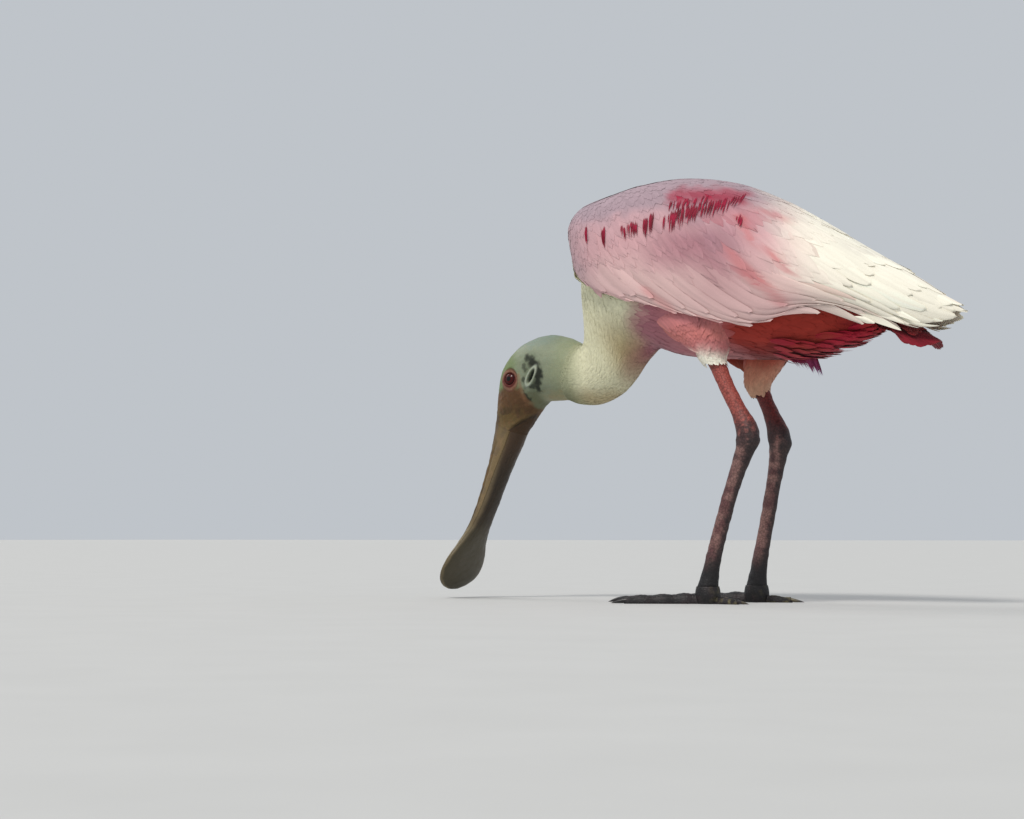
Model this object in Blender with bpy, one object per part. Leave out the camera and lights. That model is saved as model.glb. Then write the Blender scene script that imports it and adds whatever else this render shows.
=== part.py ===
"""A roseate spoonbill, life size, standing on level ground with its head down and its bill near the floor.

Every table below is in millimetres, measured from the spot on the floor between the bird's feet.
-X is the way the bird faces, -Y is its left side and +Z is up. STANCE moves that spot to its
place in the model, whose origin lies on the floor under the middle of the whole bird.
"""

import math
import random

import bmesh
import bpy
import numpy as np
from mathutils import Vector

MM = 0.001
STANCE = Vector((40.76, 0.0, 0.0))
GAP = 0.3
SIDES = 24

# Skin and flesh from the rump to the bill, as slices: the back's x and z, the belly's x and z, half width.
SLICES = (
    (124.0, 244.0, 124.0, 203.0, 15.0),
    (95.0, 264.0, 95.0, 191.0, 31.0),
    (55.0, 285.0, 55.0, 184.0, 45.0),
    (10.0, 305.0, 10.0, 185.0, 53.0),
    (-35.0, 316.0, -40.0, 190.0, 55.0),
    (-78.0, 315.0, -64.0, 197.0, 52.0),
    (-110.0, 303.0, -73.0, 196.0, 45.0),
    (-127.0, 284.0, -78.0, 190.5, 36.0),
    (-133.5, 256.0, -83.5, 184.0, 29.5),
    (-132.0, 230.0, -92.0, 173.0, 25.5),
    (-130.5, 214.5, -104.0, 162.5, 23.5),
    (-131.5, 206.5, -122.0, 155.5, 22.5),
    (-135.0, 204.0, -140.0, 156.0, 22.0),
    (-140.5, 205.5, -151.0, 159.5, 21.5),
    (-150.0, 209.5, -160.0, 160.0, 21.5),
    (-165.0, 213.0, -165.0, 160.0, 22.5),
    (-181.0, 211.5, -170.0, 160.0, 23.0),
    (-196.5, 205.0, -174.0, 159.0, 23.0),
    (-208.0, 194.5, -178.0, 156.0, 22.0),
    (-214.5, 183.0, -182.0, 152.0, 20.0),
    (-217.5, 171.0, -186.0, 147.0, 17.5),
    (-219.5, 158.0, -190.0, 141.0, 15.0),
    (-221.5, 146.0, -195.0, 134.5, 12.8),
)
NECK_START, NECK_MIDDLE, HEAD_START = 8.0, 11.0, 14.0

# The bill from its root to its tip, in the same way, with the mouth line's share of the way from the back.
BILL_SLICES = (
    (-221.5, 146.0, -195.0, 134.5, 12.8, 0.74),
    (-224.0, 131.0, -201.5, 121.5, 11.6, 0.70),
    (-228.0, 117.0, -208.5, 109.0, 10.6, 0.66),
    (-232.5, 102.5, -215.5, 95.5, 9.8, 0.62),
    (-237.5, 88.0, -222.0, 81.5, 9.5, 0.58),
    (-242.5, 74.0, -229.0, 68.5, 9.8, 0.56),
    (-248.0, 60.5, -236.5, 55.5, 11.5, 0.54),
    (-253.5, 48.0, -244.0, 44.0, 17.0, 0.52),
    (-258.5, 36.5, -250.5, 33.0, 23.5, 0.50),
    (-263.0, 26.0, -256.5, 23.0, 26.5, 0.50),
    (-266.5, 17.5, -261.5, 15.0, 24.0, 0.50),
    (-269.0, 11.5, -265.5, 9.8, 16.5, 0.50),
    (-270.5, 8.2, -268.0, 7.0, 7.0, 0.50),
)
BILL_ARC = 8
NOSTRIL = (-221.5, 5.5, 134.0)
NOSTRIL_SIZE = (1.6, 1.1, 4.5)

EYE = Vector((-195.2, 15.4, 175.6))
EYE_RADIUS, LID_RING, LID_THICK = 6.8, 5.7, 1.7
EYE_AXIS = Vector((0.0, 0.99, 0.10)).normalized()
EAR, EAR_SIZE = Vector((-174.3, 23.6, 179.0)), (1.8, 4.0, 4.6)

# The folded wings' outer surface: x, top, widest height, bottom, half width.
WING_SLICES = (
    (-130.0, 308.0, 290.0, 270.0, 39.0),
    (-120.5, 317.0, 287.0, 252.0, 49.5),
    (-102.0, 322.0, 281.0, 241.0, 56.5),
    (-75.0, 328.0, 273.0, 232.0, 61.5),
    (-35.0, 330.0, 265.0, 222.0, 64.0),
    (10.0, 322.0, 256.0, 210.0, 63.0),
    (50.0, 305.0, 247.0, 206.0, 58.5),
    (85.0, 285.0, 238.0, 216.0, 52.0),
    (118.0, 265.0, 229.0, 213.0, 44.5),
    (146.0, 249.0, 220.0, 203.0, 37.5),
    (167.0, 236.0, 212.0, 192.0, 31.5),
    (192.0, 219.0, 207.0, 195.0, 21.0),
)
WING_SPLIT = 0.8
PAD_DEPTH, PAD_THICK = 3.2, 13.0
PAD_ENDS = (-128.0, 108.0)

# A feather lies along a stream over the wing: its start, middle and end as x and share round the section.
STREAMS = (
    (-124.0, 0.30, -117.0, 0.80, -8.0, 0.98),
    (-121.0, 0.20, -103.0, 0.72, 37.0, 1.00),
    (-114.0, 0.14, -80.0, 0.62, 68.0, 1.00),
    (-104.0, 0.11, -54.0, 0.55, 94.0, 1.00),
    (-91.0, 0.09, -26.0, 0.48, 119.0, 1.00),
    (-77.0, 0.08, 0.0, 0.42, 146.0, 1.00),
    (-63.0, 0.07, 26.0, 0.35, 169.0, 0.98),
    (-49.0, 0.06, 50.0, 0.27, 179.0, 0.78),
    (-37.0, 0.05, 70.0, 0.18, 184.0, 0.52),
    (-28.0, 0.05, 84.0, 0.10, 187.0, 0.25),
    (-22.0, 0.03, 92.0, 0.03, 190.0, 0.02),
)
ROW_ROOTS = (0.02, 0.10, 0.18, 0.27, 0.37, 0.50)
ROW_TIPS = (0.19, 0.28, 0.38, 0.50, 0.66, 1.00)
ROW_RISE = 1.35
RISE_AT = (0.0, 0.02, 0.10, 0.18, 0.27, 0.37, 0.50, 0.62, 1.0)
RISE_ROWS = (-0.2, 0.0, 1.0, 2.0, 3.0, 4.0, 5.0, 7.0, 7.4)
VANE_THICK, VANE_TILT = 0.85, 1.25

TAIL_ROOT, TAIL_TIP = Vector((127.0, 0.0, 215.0)), Vector((172.0, 0.0, 188.0))
TAIL_VANES, TAIL_ROOT_STEP, TAIL_TIP_STEP = 12, 2.3, 5.4
TAIL_PAD = (
    (124.0, 244.0, 124.0, 203.0, 15.0),
    (136.0, 232.0, 133.0, 200.0, 17.0),
    (148.0, 219.0, 143.0, 198.0, 15.0),
    (156.0, 209.0, 152.0, 198.0, 9.0),
)

# Each leg from the thigh to the foot: x, z, half width fore and aft, half width across.
LEG_SLICES = (
    (0.0, 188.0, 7.4, 7.0),
    (4.0, 176.0, 6.3, 6.0),
    (11.0, 160.0, 5.8, 5.5),
    (19.5, 143.0, 6.2, 5.9),
    (25.0, 131.0, 8.5, 7.9),
    (26.5, 122.5, 8.8, 8.2),
    (24.0, 112.5, 6.9, 6.6),
    (20.0, 99.0, 5.7, 5.3),
    (14.5, 79.0, 5.4, 4.9),
    (9.0, 58.0, 5.4, 4.8),
    (4.0, 38.0, 5.7, 5.1),
    (1.0, 24.0, 6.4, 5.9),
    (-1.0, 13.0, 7.8, 7.4),
)
ANKLE, LEG_Y = 4.6, 30.0
LEG_LEAN = {"l": 5.0, "r": -5.0}
FOOT_X = {"l": -5.0, "r": 3.0}
THIGH_MOVE = {"l": (-5.0, 4.0), "r": (2.0, -12.0)}
THIGH_SLICES = (
    (24.0, 228.0, 22.0, 12.0, 27.0),
    (17.0, 214.0, 24.0, 16.5, 29.0),
    (10.0, 200.0, 20.5, 16.5, 30.0),
    (5.0, 188.0, 14.5, 13.5, 30.0),
    (2.0, 179.0, 10.0, 10.0, 30.0),
)

# Each toe: its angle outward from straight ahead, length, width and height at its root, and phalanges.
TOES = (
    (-19.0, 64.0, 9.0, 8.0, 3),
    (5.0, 84.0, 9.5, 8.5, 4),
    (31.0, 72.0, 9.0, 8.0, 4),
    (172.0, 38.0, 7.0, 6.5, 2),
)
CLAW = 11.0
WEB_REACH, WEB_THICK = 0.42, 1.6


def along(table, place):
    """A row of the table at a fractional place, on a smooth curve through its rows (Catmull-Rom)."""
    rows = np.asarray(table, float)
    place = min(max(place, 0.0), len(rows) - 1.0)
    low = min(int(place), len(rows) - 2)
    t = place - low
    before = rows[low - 1] if low else 2 * rows[0] - rows[1]
    after = rows[low + 2] if low + 2 < len(rows) else 2 * rows[-1] - rows[-2]
    a, b = rows[low], rows[low + 1]
    return 0.5 * (
        2 * a
        + (b - before) * t
        + (2 * before - 5 * a + 4 * b - after) * t * t
        + (3 * a - before - 3 * b + after) * t**3
    )


def body(name, points, faces, linked=True):
    """A closed mesh from points in millimetres, faces turned outward."""
    mesh = bpy.data.meshes.new(name)
    mesh.from_pydata([tuple((Vector(p) + STANCE) * MM) for p in points], [], faces)
    shape = bmesh.new()
    shape.from_mesh(mesh)
    bmesh.ops.triangulate(shape, faces=[f for f in shape.faces if len(f.verts) > 3])
    bmesh.ops.recalc_face_normals(shape, faces=shape.faces)
    if shape.calc_volume(signed=True) < 0:
        bmesh.ops.reverse_faces(shape, faces=shape.faces)
    shape.to_mesh(mesh)
    shape.free()
    made = bpy.data.objects.new(name, mesh)
    if linked:
        bpy.context.scene.collection.objects.link(made)
    return made


def loft(name, rings, linked=True):
    """A closed body through rings of points, with flat ends."""
    count = len(rings[0])
    faces = [tuple(range(count)), tuple(range((len(rings) - 1) * count, len(rings) * count))]
    for i in range(len(rings) - 1):
        for k in range(count):
            a, b = i * count + k, i * count + (k + 1) % count
            faces += [(a, b, b + count), (a, b + count, a + count)]
    return body(name, [p for ring in rings for p in ring], faces, linked)


def evaluated(made):
    """Puts the result of the object's modifiers in place of its mesh."""
    graph = bpy.context.evaluated_depsgraph_get()
    result = bpy.data.meshes.new_from_object(made.evaluated_get(graph))
    made.modifiers.clear()
    made.data = result


def fuse(made, pieces):
    """Unites closed pieces with a body in one Boolean."""
    group = bpy.data.collections.new("pieces")
    for piece in pieces:
        group.objects.link(piece)
    step = made.modifiers.new("fuse", "BOOLEAN")
    step.operation, step.operand_type, step.solver = "UNION", "COLLECTION", "MANIFOLD"
    step.collection = group
    evaluated(made)
    bpy.data.collections.remove(group)
    for piece in pieces:
        bpy.data.objects.remove(piece)
    keep_largest(made)


def carve(made, cutters):
    """Cuts closed shapes out of a body."""
    for cutter in cutters:
        step = made.modifiers.new("carve", "BOOLEAN")
        step.operation, step.solver, step.object = "DIFFERENCE", "MANIFOLD", cutter
        evaluated(made)
        bpy.data.objects.remove(cutter)
    keep_largest(made)


def keep_largest(made):
    """Leaves only the largest closed surface of a body."""
    shape = bmesh.new()
    shape.from_mesh(made.data)
    islands, seen = [], set()
    for start in shape.faces:
        if start in seen:
            continue
        island, front = [], [start]
        seen.add(start)
        while front:
            face = front.pop()
            island.append(face)
            for edge in face.edges:
                for other in edge.link_faces:
                    if other not in seen:
                        seen.add(other)
                        front.append(other)
        islands.append(island)
    islands.sort(key=lambda island: -sum(f.calc_area() for f in island))
    bmesh.ops.delete(shape, geom=[f for island in islands[1:] for f in island], context="FACES")
    shape.to_mesh(made.data)
    shape.free()


def flesh_ring(table, place, grow=0.0, shift=0.0):
    """One closed ring of the flesh. shift moves it along its own normal, towards the bill."""
    back_x, back_z, belly_x, belly_z, half = along(table, place)[:5]
    back, belly = Vector((back_x, 0, back_z)), Vector((belly_x, 0, belly_z))
    middle, up = (back + belly) / 2, (back - belly) / 2
    forward = up.cross(Vector((0, 1, 0))).normalized()
    up = up * (1 + grow / up.length)
    turns = [2 * math.pi * k / SIDES for k in range(SIDES)]
    return [
        middle + up * math.cos(a) + Vector((0, (half + grow) * math.sin(a), 0)) + forward * shift
        for a in turns
    ]


def flesh(name, start, end, step, grow=0.0, linked=True, head=0.0, tail=0.0):
    """A length of the flesh between two places, its ends drawn in by head and tail millimetres."""
    count = max(2, round((end - start) / step) + 1)
    places = [start + (end - start) * k / (count - 1) for k in range(count)]
    rings = [flesh_ring(SLICES, p, grow) for p in places]
    rings[0] = flesh_ring(SLICES, start, grow, tail)
    rings[-1] = flesh_ring(SLICES, end, grow, -head)
    return loft(name, rings, linked)


def ball(name, centre, size, side=1, rings=8, around=14, linked=False):
    """An ellipsoid with a pole at each end of its z axis."""
    points = [Vector((0, 0, 1)), Vector((0, 0, -1))]
    for i in range(1, rings):
        a = math.pi * i / rings
        for k in range(around):
            b = 2 * math.pi * k / around
            points.append(Vector((math.sin(a) * math.cos(b), math.sin(a) * math.sin(b), math.cos(a))))
    faces = []
    for k in range(around):
        n = (k + 1) % around
        faces.append((0, 2 + k, 2 + n))
        last = 2 + (rings - 2) * around
        faces.append((1, last + n, last + k))
        for i in range(rings - 2):
            a, b = 2 + i * around + k, 2 + i * around + n
            faces += [(a, a + around, b + around), (a, b + around, b)]
    size = Vector(size) if hasattr(size, "__len__") else Vector((size, size, size))
    centre = Vector((centre[0], centre[1] * side, centre[2]))
    return body(name, [centre + Vector(a * b for a, b in zip(p, size)) for p in points], faces, linked)


def hoop(name, centre, axis, radius, thick, side):
    """A torus about an axis."""
    axis = Vector((axis[0], axis[1] * side, axis[2]))
    centre = Vector((centre[0], centre[1] * side, centre[2]))
    across = axis.cross(Vector((0, 0, 1))).normalized()
    high = across.cross(axis)
    points, faces, around, tube = [], [], 14, 6
    for i in range(around):
        a = 2 * math.pi * i / around
        out = across * math.cos(a) + high * math.sin(a)
        for k in range(tube):
            b = 2 * math.pi * k / tube
            points.append(centre + out * (radius + thick * math.cos(b)) + axis * thick * math.sin(b))
            a0, a1 = i * tube + k, i * tube + (k + 1) % tube
            b0, b1 = (i + 1) % around * tube + k, (i + 1) % around * tube + (k + 1) % tube
            faces += [(a0, b0, b1), (a0, b1, a1)]
    return body(name, points, faces, False)


def wing_point(x, share, height, side):
    """A point over the wing's surface, at a height outward from it."""
    xs = [row[0] for row in WING_SLICES]

    def surface(x, share):
        place = float(np.interp(x, xs, range(len(xs))))
        _, top, wide, bottom, half = along(WING_SLICES, place)
        if share < 0.5:
            a = math.pi * max(share, 0.0)
            return Vector((x, 0.8 + half * math.sin(a) ** 0.95, wide + (top - wide) * math.cos(a)))
        b = math.pi * (min(share, 1.04) - 0.5)
        return Vector((x, 0.8 + half * (1 - 0.13 * math.sin(b) ** 2), wide - (wide - bottom) * math.sin(b)))

    here = surface(x, share)
    low, high = max(share - 0.01, 0.0), min(share + 0.01, 1.0)
    down = surface(x, high) - surface(x, low)
    back = surface(x + 1.0, share) - surface(x - 1.0, share)
    out = back.cross(down).normalized()
    if out.y + out.z < 0:
        out = -out
    here = here + out * height
    return Vector((here.x, side * max(here.y, 0.5), here.z))


def stream(column, t):
    """The x and share of a stream's point at a fraction of its length (a quadratic curve)."""
    x0, v0, x1, v1, x2, v2 = along(STREAMS, column)
    a, b, c = (1 - t) ** 2, 2 * t * (1 - t), t * t
    return a * x0 + b * x1 + c * x2, a * v0 + b * v1 + c * v2


def vane(name, lefts, middles, rights, thicks):
    """A thin closed blade: lens-shaped across, ending in a point. Both faces are split alike."""
    points, faces = [], []
    count = len(middles)
    for i in range(count - 1):
        out = (rights[i] - lefts[i]).cross(middles[i + 1] - middles[i]).normalized()
        half = out * thicks[i] / 2
        points += [lefts[i], middles[i] + half, rights[i], middles[i] - half]
    points.append(middles[-1])
    tip = len(points) - 1
    for i in range(count - 2):
        a = 4 * i
        for edge in (0, 2):
            for face in (1, 3):
                faces += [(a + edge, a + face, a + 4 + face), (a + edge, a + 4 + face, a + 4 + edge)]
    a = 4 * (count - 2)
    for edge in (0, 2):
        for face in (1, 3):
            faces.append((a + edge, a + face, tip))
    faces += [(0, 1, 3), (2, 1, 3)]
    return body(name, points, faces, False)


def wing_vanes(side, chance):
    """The wing's coverts in rows like tiles, and its long flight feathers, each over the one below it."""
    made, columns = [], len(STREAMS)
    for row, (root, tip) in enumerate(zip(ROW_ROOTS, ROW_TIPS)):
        flight = row == len(ROW_ROOTS) - 1
        stations = 7 if flight else 4 if row > 1 else 3
        offset = 0.0 if row % 2 else 0.5
        for index in range(columns - (0 if row % 2 else 1)):
            column = index + offset
            end = tip + chance.uniform(-0.008, 0.008) * (0 if flight else 1)
            lefts, middles, rights, thicks = [], [], [], []
            for i in range(stations + 1):
                s = i / stations
                t = root + (end - root) * s
                width = (1.42 if flight else 0.94) * (0.62 + 0.38 * math.sin(math.pi * min(s + 0.25, 1) / 1.6))
                if s > 0.8:
                    width *= 0.86
                if i == stations:
                    width = 0.0
                base = ROW_RISE * (float(np.interp(t, RISE_AT, RISE_ROWS)) - row - (0.55 if flight else 0)) - 1.3

                def place(shift):
                    spot = min(max(column + shift * width, -0.32), columns - 1 + 0.3)
                    x, share = stream(min(max(spot, 0.0), columns - 1), t)
                    over = spot - min(max(spot, 0.0), columns - 1)
                    share -= 0.10 * over
                    tilt = VANE_TILT * (column - spot) if flight else 0.0
                    return wing_point(x, share, base + tilt - PAD_DEPTH + 0.2, side)

                lefts.append(place(-0.5))
                middles.append(place(0.0))
                rights.append(place(0.5))
                thicks.append(VANE_THICK * (1 - 0.35 * s))
            made.append(vane("vane", lefts, middles, rights, thicks))
    return made


def wing(name, side, chance):
    """A folded wing: a hollow pad over the flesh, with its feathers rooted in it."""
    shares = [k / 12 for k in range(13)]
    rings = []
    first, last = PAD_ENDS
    for i in range(15):
        x = first + (last - first) * i / 14
        fade = min(1.0, (i + 0.35) / 3, (14.35 - i) / 5)
        outer = [wing_point(x, s, -PAD_DEPTH - 2.0 * (1 - fade), side) for s in shares]
        inner = [wing_point(x, s, -PAD_DEPTH - 2.0 * (1 - fade) - PAD_THICK * fade, side) for s in shares]
        rings.append(outer + inner[::-1])
    made = loft(name, rings)
    fuse(made, wing_vanes(side, chance))
    carve(made, [flesh("cut", 0.0, 9.5, 0.5, GAP + 0.05, False), *thigh_shapes(side, GAP + 0.05)])
    return made


def thigh_shapes(side, grow):
    """The feathered top of a leg, a little lower on the right side."""
    ahead, up = THIGH_MOVE["l" if side < 0 else "r"]
    rings = [
        [
            Vector(
                (
                    x + ahead + (fore + grow) * math.cos(a),
                    side * (y + (across + grow) * math.sin(a)),
                    z + up - grow * (z < 185),
                )
            )
            for a in (2 * math.pi * k / 16 for k in range(16))
        ]
        for x, z, fore, across, y in THIGH_SLICES
    ]
    return [loft("thigh", rings, False)]


def tail(name, chance):
    """The tail's root with its twelve feathers fanned from it."""
    rings = [flesh_ring(TAIL_PAD, p, 0.0) for p in (0.0, 0.5, 1.0, 1.5, 2.0, 2.5, 3.0)]
    rings[0] = flesh_ring(TAIL_PAD, 0.0, 0.0, -GAP)
    made = loft(name, rings)
    run = TAIL_TIP - TAIL_ROOT
    length = run.length
    run.normalize()
    up = Vector((-run.z, 0, run.x))
    blades, middle = [], (TAIL_VANES - 1) / 2
    for i in range(TAIL_VANES):
        place = i - middle
        rank = -0.5 if i == TAIL_VANES // 2 else abs(place)
        reach = length * (1 - 0.004 * place * place) + chance.uniform(-1.0, 1.0)
        lefts, middles, rights, thicks = [], [], [], []
        for k in range(6):
            s = k / 5
            step = TAIL_ROOT_STEP + (TAIL_TIP_STEP - TAIL_ROOT_STEP) * s
            width = (9.0 + 6.5 * math.sin(math.pi * min(s, 0.8) / 1.6)) * (0.0 if k == 5 else 1.0)
            centre = TAIL_ROOT + run * (reach * s) - up * (5.0 * s * s)

            def spot(shift):
                across = place * step + shift * width
                height = 1.2 * (abs(across) / step - rank) * min(1.0, 0.35 + s)
                return centre + Vector((0, across, 0)) + up * height

            lefts.append(spot(-0.5))
            middles.append(spot(0.0))
            rights.append(spot(0.5))
            thicks.append(0.8 - 0.25 * s)
        blades.append(vane("vane", lefts, middles, rights, thicks))
    fuse(made, blades)
    carve(made, [flesh("cut", 0.0, 2.0, 0.5, GAP, False)])
    return made


def bill_half(name, upper):
    """One half of the bill, from the mouth line out to the back or to the throat side."""
    rings = []
    count = 2 * (len(BILL_SLICES) - 1) + 1
    for i in range(count):
        place = i / 2
        back_x, back_z, belly_x, belly_z, half, mouth = along(BILL_SLICES, place)
        back, belly = Vector((back_x, 0, back_z)), Vector((belly_x, 0, belly_z))
        middle, up = (back + belly) / 2, (back - belly) / 2
        forward = up.cross(Vector((0, 1, 0))).normalized()
        level = 1 - 2 * mouth
        edge = level + (GAP / 2 / up.length) * (1 if upper else -1)
        power = 2.0 + 0.5 * min(place / 6, 1.0)
        lateral = max(1 - abs(edge) ** power, 0.02) ** (1 / power)
        reach = math.acos(max(-1.0, min(1.0, edge))) if upper else math.acos(max(-1.0, min(1.0, -edge)))
        ring = []
        for k in range(BILL_ARC + 1):
            a = reach * (2 * k / BILL_ARC - 1)
            c = math.cos(a) if upper else -math.cos(a)
            y = max(1 - abs(c) ** power, 0.0) ** (1 / power) * math.copysign(1, a) if k * 2 != BILL_ARC else 0.0
            if k in (0, BILL_ARC):
                c, y = edge, lateral * math.copysign(1, a)
            ring.append(middle + up * c + Vector((0, half * y, 0)))
        if i == 0:
            ring = [p + forward * GAP for p in ring]
        rings.append(ring)
    return loft(name, rings)


def leg(side, letter):
    """The shank and the tarsus of one leg, cut at the ankle."""
    lean, foot = LEG_LEAN[letter], FOOT_X[letter]

    def ring(place, trim=0.0):
        x, z, fore, across = along(LEG_SLICES, place)
        weight = math.exp(-(((place - ANKLE) / 3.2) ** 2))
        ahead, behind = along(LEG_SLICES, place + 0.1), along(LEG_SLICES, place - 0.1)
        run = Vector((ahead[0] - behind[0], 0, ahead[1] - behind[1])).normalized()
        if place > len(LEG_SLICES) - 1.5:
            run = Vector((0, 0, -1))
        level = Vector((-run.z, 0, run.x))
        centre = Vector((x + lean * weight + foot * min(1.0, place / 12), side * LEG_Y, z)) + run * trim
        return [
            centre + level * fore * math.cos(a) + Vector((0, across * math.sin(a), 0))
            for a in (2 * math.pi * k / 12 for k in range(12))
        ]

    last = len(LEG_SLICES) - 1
    upper = [0.6, 1.0, 2.0, 3.0, 3.6, 4.1, ANKLE]
    rings = [ring(p) for p in upper]
    rings[-1] = ring(ANKLE, -GAP / 2)
    shank = loft("shank_" + letter, rings)
    lower = [ANKLE, 5.0, 5.5, 6.0, 7.0, 8.0, 9.0, 10.0, 11.0, 11.6, last]
    rings = [ring(p) for p in lower]
    rings[0] = ring(ANKLE, GAP / 2)
    tarsus = loft("tarsus_" + letter, rings)
    return shank, tarsus


def foot(side, letter):
    """A foot flat on the floor: three front toes with webs between their roots, and a hind toe."""
    x0, y0 = LEG_SLICES[-1][0] + FOOT_X[letter], side * LEG_Y
    top = LEG_SLICES[-1][1] - GAP
    fore, across = LEG_SLICES[-1][2], LEG_SLICES[-1][3]
    rings = []
    for z, wide in ((top, 1.0), (top * 0.55, 1.08), (0.0, 0.96)):
        rings.append(
            [
                Vector((x0 + fore * wide * math.cos(a), y0 + across * wide * math.sin(a), z))
                for a in (2 * math.pi * k / 12 for k in range(12))
            ]
        )
    made = loft("foot_" + letter, rings)
    pieces, lines = [], []
    for angle, length, width, height, joints in TOES:
        turn = math.radians(angle)
        run = Vector((-math.cos(turn), side * math.sin(turn), 0))
        level = Vector((-run.y, run.x, 0))
        start = Vector((x0, y0, 0)) + run * 2.0
        stations = 2 * joints + 1
        toe = []
        for i in range(stations + 3):
            if i <= stations:
                s = i / stations
                d = (length - CLAW) * s
                bulge = 1.0 + (0.12 if i % 2 == 0 else -0.08)
                w, h, low = width * (1 - 0.38 * s) * bulge, height * (1 - 0.42 * s) * bulge, 0.0
            else:
                s = (i - stations) / 2
                d = length - CLAW + CLAW * (0.35, 1.0)[i - stations - 1]
                w, h = width * (0.42, 0.10)[i - stations - 1], height * (0.46, 0.12)[i - stations - 1]
                low = (0.9, 0.3)[i - stations - 1]
            centre = start + run * d
            shape = ((-0.46, 0.0), (0.46, 0.0), (0.5, 0.4), (0.3, 0.9), (0.0, 1.0), (-0.3, 0.9), (-0.5, 0.4))
            toe.append([centre + level * (w * a) + Vector((0, 0, low + h * b)) for a, b in shape])
        pieces.append(loft("toe", toe, False))
        lines.append((start, run, length - CLAW))
    for (a, run_a, long_a), (b, run_b, long_b) in ((lines[0], lines[1]), (lines[1], lines[2])):
        ends = (a + run_a * long_a * WEB_REACH * 1.25, b + run_b * long_b * WEB_REACH * 1.1)
        inner = (a + run_a * 1.0, b + run_b * 1.0)
        hollow = (ends[0] + ends[1]) / 2 - (run_a + run_b).normalized() * 7.0
        outline = [inner[0], ends[0], hollow, ends[1], inner[1]]
        low, high = Vector((0, 0, 0.9)), Vector((0, 0, 0.9 + WEB_THICK))
        pieces.append(loft("web", [[p + low for p in outline], [p + high for p in outline]], False))
    fuse(made, pieces)
    return made


def build():
    for old in list(bpy.data.objects):
        bpy.data.objects.remove(old)
    chance = random.Random(11)
    flesh("torso", 0.0, NECK_START, 0.5, 0.0, True, head=GAP / 2)
    flesh("neck_lower", NECK_START, NECK_MIDDLE, 0.5, 0.0, True, head=GAP / 2, tail=GAP / 2)
    flesh("neck_upper", NECK_MIDDLE, HEAD_START, 0.5, 0.0, True, head=GAP / 2, tail=GAP / 2)
    head = flesh("head", HEAD_START, len(SLICES) - 1.0, 0.5, 0.0, True, tail=GAP / 2)
    axis_y = {1: "r", -1: "l"}
    lids = [
        hoop("lid", EYE + EYE_AXIS * 4.9, EYE_AXIS, LID_RING, LID_THICK, side) for side in axis_y
    ]
    fuse(head, lids)
    carve(head, [ball("socket", EYE, EYE_RADIUS + GAP, side, 8, 14) for side in axis_y])
    carve(head, [ball("ear", EAR, EAR_SIZE, side, 6, 10) for side in axis_y])
    for side, letter in axis_y.items():
        ball("eye_" + letter, EYE, EYE_RADIUS, side, 8, 14, True)
    upper = bill_half("bill_upper", True)
    carve(upper, [ball("nostril", NOSTRIL, NOSTRIL_SIZE, side, 6, 8) for side in axis_y])
    bill_half("bill_lower", False)
    tail("tail", chance)
    for side, letter in axis_y.items():
        wing("wing_" + letter, side, chance)
        thigh = thigh_shapes(side, 0.0)[0]
        thigh.name = "thigh_" + letter
        bpy.context.scene.collection.objects.link(thigh)
        carve(thigh, [flesh("cut", 0.0, 9.5, 0.5, GAP, False)])
        shank, _ = leg(side, letter)
        cutter = thigh_shapes(side, GAP)[0]
        carve(shank, [cutter])
        foot(side, letter)


build()
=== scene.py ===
"""Dresses a standing roseate spoonbill: skin, feathers, bill, eyes and legs around its solids.

Sizes are in millimetres from the spot on the floor between the bird's feet, as in the solids: -X is
the way the bird faces, -Y is its left side and +Z is up. STANCE carries that spot to its place in
the model. A surface here is a function of two parameters, worked out for whole arrays at once.
"""

import logging
import math
from dataclasses import dataclass
from enum import Enum
from typing import Any, Callable, Sequence

import bmesh
import bpy
import numpy as np
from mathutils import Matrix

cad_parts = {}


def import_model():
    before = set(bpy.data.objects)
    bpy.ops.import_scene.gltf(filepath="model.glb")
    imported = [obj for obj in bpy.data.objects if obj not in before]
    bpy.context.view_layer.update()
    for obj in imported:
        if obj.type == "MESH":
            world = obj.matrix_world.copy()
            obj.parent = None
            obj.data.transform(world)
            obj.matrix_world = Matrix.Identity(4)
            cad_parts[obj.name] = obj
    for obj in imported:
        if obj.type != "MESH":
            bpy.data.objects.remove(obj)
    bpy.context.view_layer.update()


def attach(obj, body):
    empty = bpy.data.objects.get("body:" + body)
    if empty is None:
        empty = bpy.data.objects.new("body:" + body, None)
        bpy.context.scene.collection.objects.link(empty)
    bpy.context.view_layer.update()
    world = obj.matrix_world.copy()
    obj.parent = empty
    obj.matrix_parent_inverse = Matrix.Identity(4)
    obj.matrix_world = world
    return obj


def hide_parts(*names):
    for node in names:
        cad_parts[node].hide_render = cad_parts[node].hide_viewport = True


LOG = logging.getLogger("spoonbill")
Array = np.ndarray
Paint = Callable[[Array], Array]

MM = 0.001
# How wide the small ring at a tube's end is, as a share of the end.
END_SHARE = 0.02
STANCE = np.array((40.76, 0.0, 0.0))
BODY = "root"

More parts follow.
